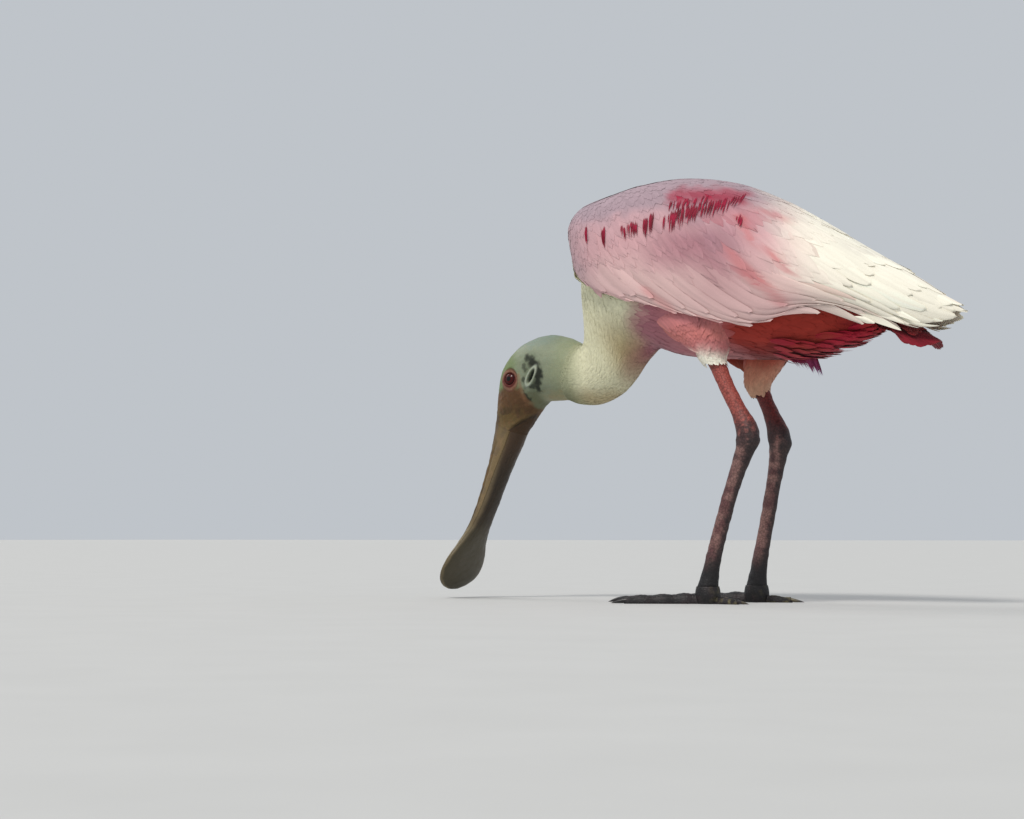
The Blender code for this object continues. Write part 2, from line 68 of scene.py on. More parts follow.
# The back's x and z, the belly's x and z and the half width of each slice, from the rump to the bill.
SLICES = (
    (124.0, 244.0, 124.0, 203.0, 15.0),
    (95.0, 264.0, 95.0, 191.0, 31.0),
    (55.0, 285.0, 55.0, 184.0, 45.0),
    (10.0, 305.0, 10.0, 185.0, 53.0),
    (-35.0, 316.0, -40.0, 190.0, 55.0),
    (-78.0, 315.0, -64.0, 197.0, 52.0),
    (-110.0, 303.0, -73.0, 196.0, 45.0),
    (-127.0, 284.0, -78.0, 190.5, 36.0),
    (-133.5, 256.0, -83.5, 184.0, 29.5),
    (-132.0, 230.0, -92.0, 173.0, 25.5),
    (-130.5, 214.5, -104.0, 162.5, 23.5),
    (-131.5, 206.5, -122.0, 155.5, 22.5),
    (-135.0, 204.0, -140.0, 156.0, 22.0),
    (-140.5, 205.5, -151.0, 159.5, 21.5),
    (-150.0, 209.5, -160.0, 160.0, 21.5),
    (-165.0, 213.0, -165.0, 160.0, 22.5),
    (-181.0, 211.5, -170.0, 160.0, 23.0),
    (-196.5, 205.0, -174.0, 159.0, 23.0),
    (-208.0, 194.5, -178.0, 156.0, 22.0),
    (-214.5, 183.0, -182.0, 152.0, 20.0),
    (-217.5, 171.0, -186.0, 147.0, 17.5),
    (-219.5, 158.0, -190.0, 141.0, 15.0),
    (-221.5, 146.0, -195.0, 134.5, 12.8),
)
LAST_SLICE = len(SLICES) - 1.0
# The place along the slices where the coat ends and the bare head starts.
BARE_FROM = 13.3

# Bands of neck feathers: first and last place, rows, columns, feather length and half width.
NECK_BANDS = ((7.2, 10.1, 38, 118, 14.0, 1.5),)
NAPE_BANDS = (
    (9.9, 12.9, 32, 104, 12.0, 1.4),
    (12.3, BARE_FROM + 0.1, 16, 118, 6.0, 0.9),
)

# The bill's slices, given like the body's, with the upper half's share of the depth last.
BILL_SLICES = (
    (-221.5, 146.0, -195.0, 134.5, 12.8, 0.74),
    (-224.0, 131.0, -201.5, 121.5, 11.6, 0.70),
    (-228.0, 117.0, -208.5, 109.0, 10.6, 0.66),
    (-232.5, 102.5, -215.5, 95.5, 9.8, 0.62),
    (-237.5, 88.0, -222.0, 81.5, 9.5, 0.58),
    (-242.5, 74.0, -229.0, 68.5, 9.8, 0.56),
    (-248.0, 60.5, -236.5, 55.5, 11.5, 0.54),
    (-253.5, 48.0, -244.0, 44.0, 17.0, 0.52),
    (-258.5, 36.5, -250.5, 33.0, 23.5, 0.50),
    (-263.0, 26.0, -256.5, 23.0, 26.5, 0.50),
    (-266.5, 17.5, -261.5, 15.0, 24.0, 0.50),
    (-269.0, 11.5, -265.5, 9.8, 16.5, 0.50),
    (-270.5, 8.2, -268.0, 7.0, 7.0, 0.50),
)

# The folded wings' outer surface: x, top, widest height, bottom, half width.
WING_SLICES = (
    (-130.0, 308.0, 290.0, 270.0, 39.0),
    (-120.5, 317.0, 287.0, 252.0, 49.5),
    (-102.0, 322.0, 281.0, 241.0, 56.5),
    (-75.0, 328.0, 273.0, 232.0, 61.5),
    (-35.0, 330.0, 265.0, 222.0, 64.0),
    (10.0, 322.0, 256.0, 210.0, 63.0),
    (50.0, 305.0, 247.0, 206.0, 58.5),
    (85.0, 285.0, 238.0, 216.0, 52.0),
    (118.0, 265.0, 229.0, 213.0, 43.5),
    (146.0, 249.0, 220.0, 203.0, 34.0),
    (167.0, 235.0, 214.0, 198.0, 22.0),
    (194.0, 216.0, 209.0, 202.0, 5.0),
)

# The lie of the wing's feathers: each stream's start, middle and end as x and share round the section.
STREAMS = (
    (-128.0, 0.42, -127.0, 0.86, -92.0, 0.99),
    (-124.0, 0.30, -121.0, 0.76, -58.0, 0.99),
    (-121.0, 0.20, -113.0, 0.67, -24.0, 0.99),
    (-114.0, 0.14, -97.0, 0.60, 10.0, 0.99),
    (-104.0, 0.11, -76.0, 0.54, 44.0, 0.99),
    (-91.0, 0.09, -50.0, 0.48, 79.0, 0.99),
    (-77.0, 0.10, -20.0, 0.43, 114.0, 0.99),
    (-63.0, 0.09, 12.0, 0.37, 150.0, 0.99),
    (-49.0, 0.08, 44.0, 0.29, 177.0, 0.86),
    (-37.0, 0.065, 68.0, 0.19, 184.0, 0.57),
    (-28.0, 0.05, 84.0, 0.10, 187.0, 0.28),
    (-22.0, 0.03, 92.0, 0.03, 190.0, 0.02),
)
LAST_STREAM = len(STREAMS) - 1.0

EYE, EYE_RADIUS = np.array((-196.6, 15.2, 177.2)), 6.8
EYE_AXIS = np.array((0.0, 0.99, 0.10)) / math.hypot(0.99, 0.10)
LID_OPENING = 4.9
# Half the height and half the width of the ear's raised rim and of the slit within it.
EAR_RIM, EAR_SLIT = (7.2, 3.3), (5.4, 2.0)

# The leg's slices from hip to floor: x, height, and half the width fore and aft and across.
LEG_SLICES = (
    (0.0, 188.0, 7.4, 7.0),
    (4.0, 176.0, 6.3, 6.0),
    (11.0, 160.0, 5.8, 5.5),
    (19.5, 143.0, 6.2, 5.9),
    (25.0, 131.0, 8.5, 7.9),
    (26.5, 122.5, 8.8, 8.2),
    (24.0, 112.5, 6.9, 6.6),
    (20.0, 99.0, 5.7, 5.3),
    (14.5, 79.0, 5.4, 4.9),
    (9.0, 58.0, 5.4, 4.8),
    (4.0, 38.0, 5.7, 5.1),
    (1.0, 24.0, 6.4, 5.9),
    (-1.0, 13.0, 7.8, 7.4),
)
LEG_Y, ANKLE = 30.0, 4.6
# The part of a toe's length that is claw.
CLAW = 11.0
# Each toe's angle out from straight ahead, length with its claw, width, height and number of pads.
TOES = (
    (-19.0, 64.0, 9.0, 8.0, 3),
    (5.0, 84.0, 9.5, 8.5, 4),
    (31.0, 72.0, 9.0, 8.0, 4),
    (172.0, 38.0, 7.0, 6.5, 2),
)


class Side(Enum):
    """The bird's two sides, with the sign of Y and the letter in a node's name."""

    LEFT = (-1.0, "l", 5.0, -5.0, (-5.0, 4.0, 0.42))
    RIGHT = (1.0, "r", -5.0, 3.0, (2.0, -12.0, 0.0))

    def __init__(self, sign: float, letter: str, lean: float, foot: float, thigh: tuple) -> None:
        """Keeps the side's own places: the ankle's lean, the foot's x and the thigh's shift and slant."""
        self.sign, self.letter, self.lean, self.foot, self.thigh = sign, letter, lean, foot, thigh


# Arithmetic on whole arrays.


def catmull(table: Sequence[Sequence[float]], place: Array) -> Array:
    """Rows of a table at fractional places, on a smooth cubic through its rows (Catmull-Rom).

    Args:
        table: one row of numbers for each whole place.
        place: fractional row numbers, of any shape.

    Returns:
        An array of the places' shape with the row's columns last.
    """
    rows = np.asarray(table, float)
    rows = np.vstack([2 * rows[0] - rows[1], rows, 2 * rows[-1] - rows[-2]])
    place = np.clip(np.asarray(place, float), 0.0, len(rows) - 3.0)
    low = np.minimum(place.astype(int), len(rows) - 4)
    t = (place - low)[..., None]
    p, a, b, n = rows[low], rows[low + 1], rows[low + 2], rows[low + 3]
    return 0.5 * (2 * a + (b - p) * t + (2 * p - 5 * a + 4 * b - n) * t**2 + (3 * a - p - 3 * b + n) * t**3)


def ramp(x: Array, low: float, high: float) -> Array:
    """0 below low and 1 above high, on the smooth step 3t^2 - 2t^3 between (falling if high < low)."""
    t = np.clip((np.asarray(x, float) - low) / (high - low), 0.0, 1.0)
    return t * t * (3 - 2 * t)


def hill(x: Array, centre: float, wide: float) -> Array:
    """A rounded hill exp(-((x - centre) / wide)^2)."""
    return np.exp(-(((np.asarray(x, float) - centre) / wide) ** 2))


def mix(a: Array, b: Array, share: Array) -> Array:
    """a where share is 0 and b where it is 1, for colours with the share one dimension less."""
    return a + (b - a) * np.asarray(share)[..., None]


def rgb(red: int, green: int, blue: int) -> Array:
    """A display colour from 0 to 255 as the linear light a shader takes (the power 2.2 of each share)."""
    return (np.array((red, green, blue), float) / 255) ** 2.2


def cloud(points: Array, size: float, seed: int = 0) -> Array:
    """Smooth noise from -1 to 1: random values on a lattice of the given size, eased between corners.

    Args:
        points: places in millimetres, with x, y and z last.
        size: the lattice's step in millimetres.
        seed: picks another pattern.

    Returns:
        One value for each place.
    """
    q = np.asarray(points, float) / size
    cell = np.floor(q).astype(np.int64)
    f = q - cell
    f = f * f * (3 - 2 * f)
    total = np.zeros(q.shape[:-1])
    for corner in range(8):
        step = np.array((corner & 1, corner >> 1 & 1, corner >> 2 & 1))
        c = cell + step
        n = (c[..., 0] * 73856093) ^ (c[..., 1] * 19349663) ^ (c[..., 2] * 83492791) ^ (seed * 40503 + 977)
        n = (n ^ (n >> 13)) * 1274126177
        value = ((n ^ (n >> 16)) & 0xFFFFF) / float(0x7FFFF) - 1.0
        weight = np.prod(np.where(step == 1, f, 1 - f), axis=-1)
        total += value * weight
    return total


# The surfaces that feathers lie on, and markings.


class Surface:
    """A smooth surface of two parameters. Feathers on it run towards rising u."""

    out = 1.0

    def at(self, u: Array, v: Array) -> Array:
        """The points at u and v."""
        raise NotImplementedError

    def slopes(self, u: Array, v: Array) -> tuple[Array, Array]:
        """The surface's change for each unit of u and of v, by central differences."""
        e = 1e-3
        along = (self.at(u + e, v) - self.at(u - e, v)) / (2 * e)
        across = (self.at(u, v + e) - self.at(u, v - e)) / (2 * e)
        return along, across

    def raised(self, u: Array, v: Array, height: Array) -> Array:
        """The points at a height outward along the surface's normal."""
        along, across = self.slopes(u, v)
        normal = np.cross(along, across)
        normal /= np.linalg.norm(normal, axis=-1, keepdims=True) + 1e-9
        return self.at(u, v) + normal * self.out * np.asarray(height)[..., None]


class Flesh(Surface):
    """The body from the bill to the rump. u is the place counted back from the bill, v turns round it.

    A slice is an ellipse: middle + half the line from belly to back times cos v + half width times sin v.
    """

    out = 1.0

    def at(self, u: Array, v: Array) -> Array:
        """The points at u and v."""
        row = catmull(SLICES, LAST_SLICE - np.asarray(u, float))
        cos, sin = np.cos(v), np.sin(v)
        x = (row[..., 0] + row[..., 2]) / 2 + (row[..., 0] - row[..., 2]) / 2 * cos
        z = (row[..., 1] + row[..., 3]) / 2 + (row[..., 1] - row[..., 3]) / 2 * cos
        return np.stack([x, row[..., 4] * sin, z], -1)


def wing_row(x: Array) -> Array:
    """The folded wings' slice at each x, between the first and the last."""
    xs = [row[0] for row in WING_SLICES]
    return catmull(WING_SLICES, np.interp(x, xs, np.arange(len(xs))))


@dataclass
class WingFace(Surface):
    """A folded wing's outer surface. v is the stream across it and u the share of that stream's length.

    A stream is the quadratic start (1-u)^2 + middle 2u(1-u) + end u^2 in x and share. A section goes
    from the top by (sin, cos) to its widest, then down by (1 - 0.13 sin^2, sin) to its bottom, and from
    there in and down on a straight line. It is drawn in about the body's axis by the share draw.
    """

    side: Side
    draw: float = 1.0

    def __post_init__(self) -> None:
        """Turns the normals outward on either side."""
        self.out = 1.0 if self.side is Side.LEFT else -1.0

    def section(self, x: Array, share: Array) -> Array:
        """The points at an x and a share of the way from the top to the bottom."""
        row = wing_row(x)
        top, wide, bottom, half = (row[..., k] for k in (1, 2, 3, 4))
        a = np.pi * np.clip(share, -0.2, 0.5)
        b = np.pi * (np.clip(share, 0.5, 1.0) - 0.5)
        under = np.clip(share - 1.0, 0.0, 0.3)
        y = 0.4 + half * np.sign(a) * np.abs(np.sin(a)) ** 0.95 * (1 - 0.13 * np.sin(b) ** 2) - 35 * under
        z = wide + (top - wide) * np.cos(a) - (wide - bottom) * np.sin(b) - 90 * under
        z = wide + (z - wide) * self.draw
        return np.stack([np.broadcast_to(x, y.shape), self.side.sign * y * self.draw, z], -1)

    def at(self, u: Array, v: Array) -> Array:
        """The points at a share u of stream v, with the outermost streams spread evenly past their edge."""
        u, v = np.broadcast_arrays(np.asarray(u, float), np.asarray(v, float))
        inside = np.clip(v, 0.0, LAST_STREAM)
        row = catmull(STREAMS, inside)
        a, b, c = (1 - u) ** 2, 2 * u * (1 - u), u**2
        x = a * row[..., 0] + b * row[..., 2] + c * row[..., 4]
        share = a * row[..., 1] + b * row[..., 3] + c * row[..., 5] - 0.10 * (v - inside)
        return self.section(x, share)


class Mantle(Surface):
    """The back between the folded wings. u runs from front to rear and v from -1 to 1 across.

    Its section is that of the wings: the height is widest + (top - widest) sqrt(1 - c^2), where c is
    the share of the half width to the power 1 / 0.95. A span is an x and half the width there.
    """

    spans = (
        (-127.0, 32.0),
        (-118.0, 32.0),
        (-106.0, 24.0),
        (-80.0, 18.0),
        (-40.0, 14.0),
        (0.0, 9.0),
        (90.0, 5.0),
    )

    def at(self, u: Array, v: Array) -> Array:
        """The points at u and v."""
        u, v = np.broadcast_arrays(np.asarray(u, float), np.asarray(v, float))
        x = -127.0 + 212.0 * u
        row = wing_row(x)
        y = v * np.interp(x, *np.array(self.spans).T)
        c = np.clip((np.abs(y) / row[..., 4]) ** (1 / 0.95), 0, 0.999)
        return np.stack([x, y, row[..., 2] + (row[..., 1] - row[..., 2]) * np.sqrt(1 - c**2)], -1)


class Collar(Surface):
    """The bridge from the neck to the folded wings' front edges, over the shoulders.

    u runs from the neck out to the wings. v is 0 at the top and grows to 1.6 down the left side (below
    zero down the right): to 1 it follows the shoulder's section, and past that the wing's lower edge.
    """

    out = -1.0

    def at(self, u: Array, v: Array) -> Array:
        """The points at u and v, swollen forward by 2 mm half way."""
        u, v = np.broadcast_arrays(np.asarray(u, float), np.asarray(v, float))
        t = np.abs(v)
        over = np.clip(t - 1, 0, 0.7)
        inner = Flesh().at(LAST_SLICE - 7.4 + 2.2 * over, (0.36 * np.minimum(t, 1) + 0.37 * over) * np.pi)
        outer = WingFace(Side.RIGHT, 0.93).section(-119.0 + 80.0 * over, np.minimum(t, 1))
        p = inner * (1 - u)[..., None] + outer * u[..., None]
        p[..., 0] -= 2.0 * np.sin(np.pi * np.clip(u, 0, 1))
        p[..., 1] = -np.sign(v) * np.abs(p[..., 1])
        return p


@dataclass
class Thigh(Surface):
    """The feathered top of a leg: rings down its length, with u from the top down and v round it.

    The last ring is only reached by feathers that hang over the bare shank.
    """

    side: Side
    slices: tuple[tuple[float, ...], ...] = (
        (24.0, 228.0, 22.0, 12.0, 27.0),
        (17.0, 214.0, 22.0, 16.0, 29.0),
        (10.0, 200.0, 18.0, 15.5, 30.0),
        (5.0, 188.0, 13.0, 13.0, 30.0),
        (2.0, 179.0, 10.0, 10.0, 30.0),
        (5.0, 169.0, 7.0, 7.0, 30.0),
    )

    def __post_init__(self) -> None:
        """Turns the normals outward on either side."""
        self.out = -1.0 if self.side is Side.LEFT else 1.0

    def at(self, u: Array, v: Array) -> Array:
        """The points at u, from 0 at the top to 4 at the hem and 5 past it, and v."""
        row = catmull(self.slices, u)
        ahead, up, slant = self.side.thigh
        x = row[..., 0] + ahead - slant * (row[..., 1] - 185) + row[..., 2] * np.cos(v)
        y = self.side.sign * (row[..., 4] + row[..., 3] * np.sin(v))
        return np.stack([x, y, row[..., 1] + up + 0 * x], -1)


@dataclass
class Patch(Surface):
    """A four-cornered patch with u from its first edge to its second, v along each, and a bulge."""

    corners: tuple[tuple[float, float, float], ...]
    bulge: float = 3.0
    side: Side = Side.LEFT

    def __post_init__(self) -> None:
        """Turns the normals away from the middle of the bird."""
        along, across = self.slopes(np.array(0.5), np.array(0.5))
        self.out = 1.0 if np.cross(along, across)[1] * self.side.sign > 0 else -1.0

    def at(self, u: Array, v: Array) -> Array:
        """The points at u and v, from the patch's own corners as set for the right side."""
        u, v = (np.asarray(a, float)[..., None] for a in np.broadcast_arrays(u, v))
        a, b, c, d = (np.array(corner) for corner in self.corners)
        p = (1 - u) * ((1 - v) * a + v * b) + u * ((1 - v) * c + v * d)
        lengthwise = np.sin(np.pi * np.clip(0.2 + 0.8 * u[..., 0], 0, 1))
        swell = self.bulge * np.sin(np.pi * np.clip(v[..., 0], 0, 1)) * lengthwise
        p[..., 1] = self.side.sign * (p[..., 1] + swell)
        return p


@dataclass(frozen=True)
class Mark:
    """A soft-edged marking along a line, in x and z as seen from the side."""

    start: tuple[float, float]
    end: tuple[float, float]
    wide: float
    strength: float = 1.0

    def share(self, points: Array, wander: Array | float = 0.0) -> Array:
        """How strongly each point is marked: full near the line, easing to none at its half width."""
        a, b = np.array(self.start), np.array(self.end)
        q = np.stack([points[..., 0], points[..., 2]], -1) - a
        t = np.clip(q @ (b - a) / ((b - a) @ (b - a)), 0, 1)
        far = np.linalg.norm(q - t[..., None] * (b - a), axis=-1) + wander
        return self.strength * ramp(far, self.wide, self.wide * 0.2)


# Meshes from arrays.


def mesh_object(
    name: str, points: Array, faces: Array, colours: Array | None = None, uvs: Array | None = None
) -> bpy.types.Object:
    """Makes a smooth mesh object at the origin from whole arrays.

    Args:
        name: the piece's name.
        points: places in millimetres from the stance.
        faces: point numbers, three or four to a face.
        colours: a colour for each point, kept as the attribute paint.
        uvs: a place for each point on the map OFBake.

    Returns:
        The linked object.
    """
    mesh = bpy.data.meshes.new(name)
    count, corners = faces.shape
    mesh.vertices.add(len(points))
    mesh.vertices.foreach_set("co", ((points + STANCE) * MM).astype(np.float32).ravel())
    mesh.loops.add(count * corners)
    mesh.loops.foreach_set("vertex_index", faces.astype(np.int32).ravel())
    mesh.polygons.add(count)
    mesh.polygons.foreach_set("loop_start", np.arange(0, count * corners, corners, dtype=np.int32))
    mesh.polygons.foreach_set("use_smooth", np.ones(count, bool))
    mesh.update(calc_edges=True)
    if colours is not None:
        paint = mesh.attributes.new("paint", "FLOAT_COLOR", "POINT")
        rgba = np.concatenate([np.clip(colours, 0, 1), np.ones((len(points), 1))], 1)
        paint.data.foreach_set("color", rgba.astype(np.float32).ravel())
    if uvs is not None:
        layer = mesh.uv_layers.new(name="OFBake")
        layer.data.foreach_set("uv", uvs[faces.ravel()].astype(np.float32).ravel())
    made = bpy.data.objects.new(name, mesh)
    bpy.context.scene.collection.objects.link(made)
    return made


def grid_faces(rows: int, columns: int, wrap: bool) -> Array:
    """The faces of a grid of points, row by row, closed across its columns where wrap is set."""
    i = np.arange(rows - 1)[:, None] * columns
    k = np.arange(columns if wrap else columns - 1)[None, :]
    n = (k + 1) % columns
    return np.stack([i + k, i + n, i + columns + n, i + columns + k], -1).reshape(-1, 4)


def capped_tube(rings: Array) -> tuple[Array, Array]:
    """A tube of rings whose ends turn in to a small ring about their middle.

    Args:
        rings: points as rings, points in a ring, and x, y, z.

    Returns:
        The points and the faces of four corners. The small rings are END_SHARE of the tube's end across
        and stay open.
    """
    count, around = rings.shape[:2]
    points = rings.reshape(-1, 3)
    faces = [grid_faces(count, around, True)]
    k = np.arange(around)
    n = (k + 1) % around
    for ring, turned in ((0, True), (count - 1, False)):
        middle, base, start = rings[ring].mean(0), ring * around, len(points)
        points = np.concatenate([points, middle + (rings[ring] - middle) * END_SHARE])
        strip = np.stack([base + k, start + k, start + n, base + n], -1)
        faces.append(strip if turned else strip[:, ::-1])
    return points, np.concatenate(faces)


def joined(parts: Sequence[tuple[Array, Array]]) -> tuple[Array, Array]:
    """Several shells' points and faces as one set of each."""
    starts = np.cumsum([0] + [len(points) for points, _ in parts[:-1]])
    faces = [f + start for (_, f), start in zip(parts, starts)]
    return np.concatenate([points for points, _ in parts]), np.concatenate(faces)


def faced_out(made: bpy.types.Object) -> bpy.types.Object:
    """Turns the faces of every shell in a piece the same way round, outward."""
    shape = bmesh.new()
    shape.from_mesh(made.data)
    bmesh.ops.recalc_face_normals(shape, faces=shape.faces)
    shape.to_mesh(made.data)
    shape.free()
    return made


def outward(made: bpy.types.Object) -> bpy.types.Object:
    """Turns a shell's faces outward if its signed volume is below zero."""
    mesh = made.data
    mesh.calc_loop_triangles()
    points = np.empty(len(mesh.vertices) * 3, np.float32)
    mesh.vertices.foreach_get("co", points)
    corners = np.empty(len(mesh.loop_triangles) * 3, np.int32)
    mesh.loop_triangles.foreach_get("vertices", corners)
    tri = points.reshape(-1, 3)[corners].reshape(-1, 3, 3).astype(float)
    tri -= tri.mean((0, 1))
    if np.einsum("ij,ij->i", tri[:, 0], np.cross(tri[:, 1], tri[:, 2])).sum() < 0:
        mesh.flip_normals()
    return made


# Finishes.


class Socket:
    """A node socket or a number in an expression. Each operator adds a Math node."""

    def __init__(self, graph: "Graph", end: Any) -> None:
        """Keeps the graph and the socket or number."""
        self.graph, self.end = graph, end

    def _math(self, operation: str, *values: Any) -> "Socket":
        """A Math node on these values."""
        return self.graph.node("ShaderNodeMath", {"operation": operation}, dict(enumerate(values)))

    def __add__(self, other: Any) -> "Socket":
        """Sum."""
        return self._math("ADD", self, other)

    __radd__ = __add__

    def __mul__(self, other: Any) -> "Socket":
        """Product."""
        return self._math("MULTIPLY", self, other)

    __rmul__ = __mul__

    def __sub__(self, other: Any) -> "Socket":
        """Difference."""
        return self._math("SUBTRACT", self, other)

    def __rsub__(self, other: Any) -> "Socket":
        """Difference from a number."""
        return self._math("SUBTRACT", other, self)


class Graph:
    """A material's node tree, built by expressions."""

    def __init__(self, name: str) -> None:
        """Starts a material with an empty tree."""
        self.material = bpy.data.materials.new(name)
        self.material.use_nodes = True
        self.tree = self.material.node_tree
        self.tree.nodes.clear()

    def node(self, kind: str, settings: dict[str, Any], inputs: dict[Any, Any], output: Any = 0) -> Socket:
        """Adds a node.

        Args:
            kind: the node's type.
            settings: its properties, set first. A ramp's stops are (place, colour) pairs.
            inputs: a value or a Socket for each of its sockets, by name or number.
            output: the output socket to hand back, by name or number.

        Returns:
            That output.
        """
        made = self.tree.nodes.new(kind)
        for key, value in settings.items():
            if key == "stops":
                stops = made.color_ramp.elements
                while len(stops) < len(value):
                    stops.new(0.5)
                for stop, (place, colour) in zip(stops, value):
                    stop.position, stop.color = place, (*colour, 1.0)
            else:
                setattr(made, key, value)
        for key, value in inputs.items():
            value = value.end if isinstance(value, Socket) else value
            if isinstance(value, bpy.types.NodeSocket):
                self.tree.links.new(value, made.inputs[key])
            else:
                made.inputs[key].default_value = value
        return Socket(self, made.outputs[output])

    def noise(self, where: Socket, size: float, detail: float = 3.0) -> Socket:
        """Noise from 0 to 1 with features of about this many millimetres."""
        scale = 1.0 / (size * MM)
        return self.node("ShaderNodeTexNoise", {}, {"Vector": where, "Scale": scale, "Detail": detail})

    def cells(self, where: Socket, size: float, feature: str = "DISTANCE_TO_EDGE") -> Socket:
        """A cell pattern with cells of about this many millimetres."""
        scale = 1.0 / (size * MM)
        inputs = {"Vector": where, "Scale": scale}
        return self.node("ShaderNodeTexVoronoi", {"feature": feature}, inputs, "Distance")

    def tint(self, share: Socket, *stops: tuple[float, tuple[float, float, float]]) -> Socket:
        """A colour that runs through stops, each a place and a colour."""
        return self.node("ShaderNodeValToRGB", {"stops": stops}, {0: share})

    def place(self) -> Socket:
        """The object's own coordinates."""
        return self.node("ShaderNodeTexCoord", {}, {}, "Object")

    def paint(self) -> Socket:
        """The colour attribute that the piece carries."""
        return self.node("ShaderNodeAttribute", {"attribute_name": "paint"}, {}, "Color")

    def blend(self, a: Any, b: Any, share: Any, how: str = "MIX") -> Socket:
        """One colour over another."""
        settings = {"data_type": "RGBA", "blend_type": how}
        return self.node("ShaderNodeMix", settings, {0: share, 6: a, 7: b}, 2)

    def bump(self, height: Socket, depth: float, strength: float = 1.0) -> Socket:
        """A normal tilted by a height of this many millimetres."""
        inputs = {"Height": height, "Distance": depth * MM, "Strength": strength}
        return self.node("ShaderNodeBump", {}, inputs, "Normal")

    def finish(self, **inputs: Any) -> bpy.types.Material:
        """Adds the shader with its socket values, underscores standing for spaces, and the output."""
        named = {key.replace("_", " "): value for key, value in inputs.items()}
        shader = self.node("ShaderNodeBsdfPrincipled", {}, named)
        out = self.tree.nodes.new("ShaderNodeOutputMaterial")
        self.tree.links.new(shader.end, out.inputs["Surface"])
        return self.material


@dataclass(frozen=True)
class FeatherFinish:
    """Soft matt feathers in the piece's own colours, with fine barbs."""

    name: str
    rough: float = 0.82
    sheen: float = 0.15
    grain: float = 0.7

    def material(self) -> bpy.types.Material:
        """The material."""
        g = Graph(self.name)
        where = g.place()
        soft = g.noise(where, self.grain, 4.0)
        tint = g.tint(soft, (0.3, (0.92, 0.92, 0.92)), (0.7, (1.0, 1.0, 1.0)))
        colour = g.blend(g.paint(), tint, 1.0, "MULTIPLY")
        return g.finish(
            Base_Color=colour,
            Roughness=self.rough,
            Sheen_Weight=self.sheen,
            Sheen_Roughness=0.5,
            Specular_IOR_Level=0.2,
            Normal=g.bump(soft, 0.05, 0.4),
        )


@dataclass(frozen=True)
class SkinFinish:
    """Bare wrinkled skin on the head, and the down under the coat, in the piece's own colours."""

    name: str = "bare_skin"

    def material(self) -> bpy.types.Material:
        """The material."""
        g = Graph(self.name)
        where = g.place()
        fine, broad = g.noise(where, 0.9, 4.0), g.noise(where, 4.0, 3.0)
        pores = g.cells(where, 1.3)
        tint = g.tint(fine, (0.3, (0.82, 0.82, 0.80)), (0.7, (1.0, 1.0, 1.0)))
        return g.finish(
            Base_Color=g.blend(g.paint(), tint, 1.0, "MULTIPLY"),
            Roughness=broad * 0.25 + 0.48,
            Specular_IOR_Level=0.35,
            Subsurface_Weight=0.05,
            Subsurface_Scale=0.002,
            Normal=g.bump(fine * 0.6 + pores * 0.9, 0.18, 0.8),
        )


@dataclass(frozen=True)
class HornFinish:
    """Horn of the bill or the claws in the piece's own colours, with fine pits and lengthwise wear."""

    name: str
    rough: float = 0.42
    pit: float = 1.6
    coat: float = 0.12

    def material(self) -> bpy.types.Material:
        """The material."""
        g = Graph(self.name)
        where = g.place()
        fine, broad = g.noise(where, 0.8, 5.0), g.noise(where, 5.0, 4.0)
        pits = g.cells(where, self.pit)
        tint = g.tint(fine, (0.3, (0.72, 0.70, 0.66)), (0.7, (1.0, 1.0, 1.0)))
        return g.finish(
            Base_Color=g.blend(g.paint(), tint, 1.0, "MULTIPLY"),
            Roughness=broad * 0.3 + (self.rough - 0.12),
            Coat_Weight=self.coat,
            Coat_Roughness=0.35,
            Specular_IOR_Level=0.4,
            Normal=g.bump(fine * 0.5 + pits * 0.7, 0.16, 0.7),
        )


@dataclass(frozen=True)
class ScaleFinish:
    """Scaly skin of the legs and feet, with small plates parted by dark creases."""

    name: str = "leg_scales"
    plate: float = 2.3

    def material(self) -> bpy.types.Material:
        """The material."""
        g = Graph(self.name)
        where = g.place()
        plates, fine = g.cells(where, self.plate), g.noise(where, 0.7, 4.0)
        crease = g.tint(plates, (0.0, (0.42, 0.40, 0.40)), (0.12, (1.0, 1.0, 1.0)))
        tint = g.tint(fine, (0.3, (0.75, 0.75, 0.75)), (0.7, (1.0, 1.0, 1.0)))
        colour = g.blend(g.blend(g.paint(), crease, 1.0, "MULTIPLY"), tint, 1.0, "MULTIPLY")
        return g.finish(
            Base_Color=colour,
            Roughness=fine * 0.2 + 0.45,
            Specular_IOR_Level=0.4,
            Normal=g.bump(plates * 1.4 + fine * 0.3, 0.35, 0.8),
        )


@dataclass(frozen=True)
class EyeFinish:
    """A wet eye in its own colours."""

    name: str = "eye"

    def material(self) -> bpy.types.Material:
        """The material."""
        g = Graph(self.name)
        return g.finish(
            Base_Color=g.paint(),
            Roughness=0.3,
            Coat_Weight=0.15,
            Coat_Roughness=0.03,
            Specular_IOR_Level=0.15,
        )


# Colours of each part.


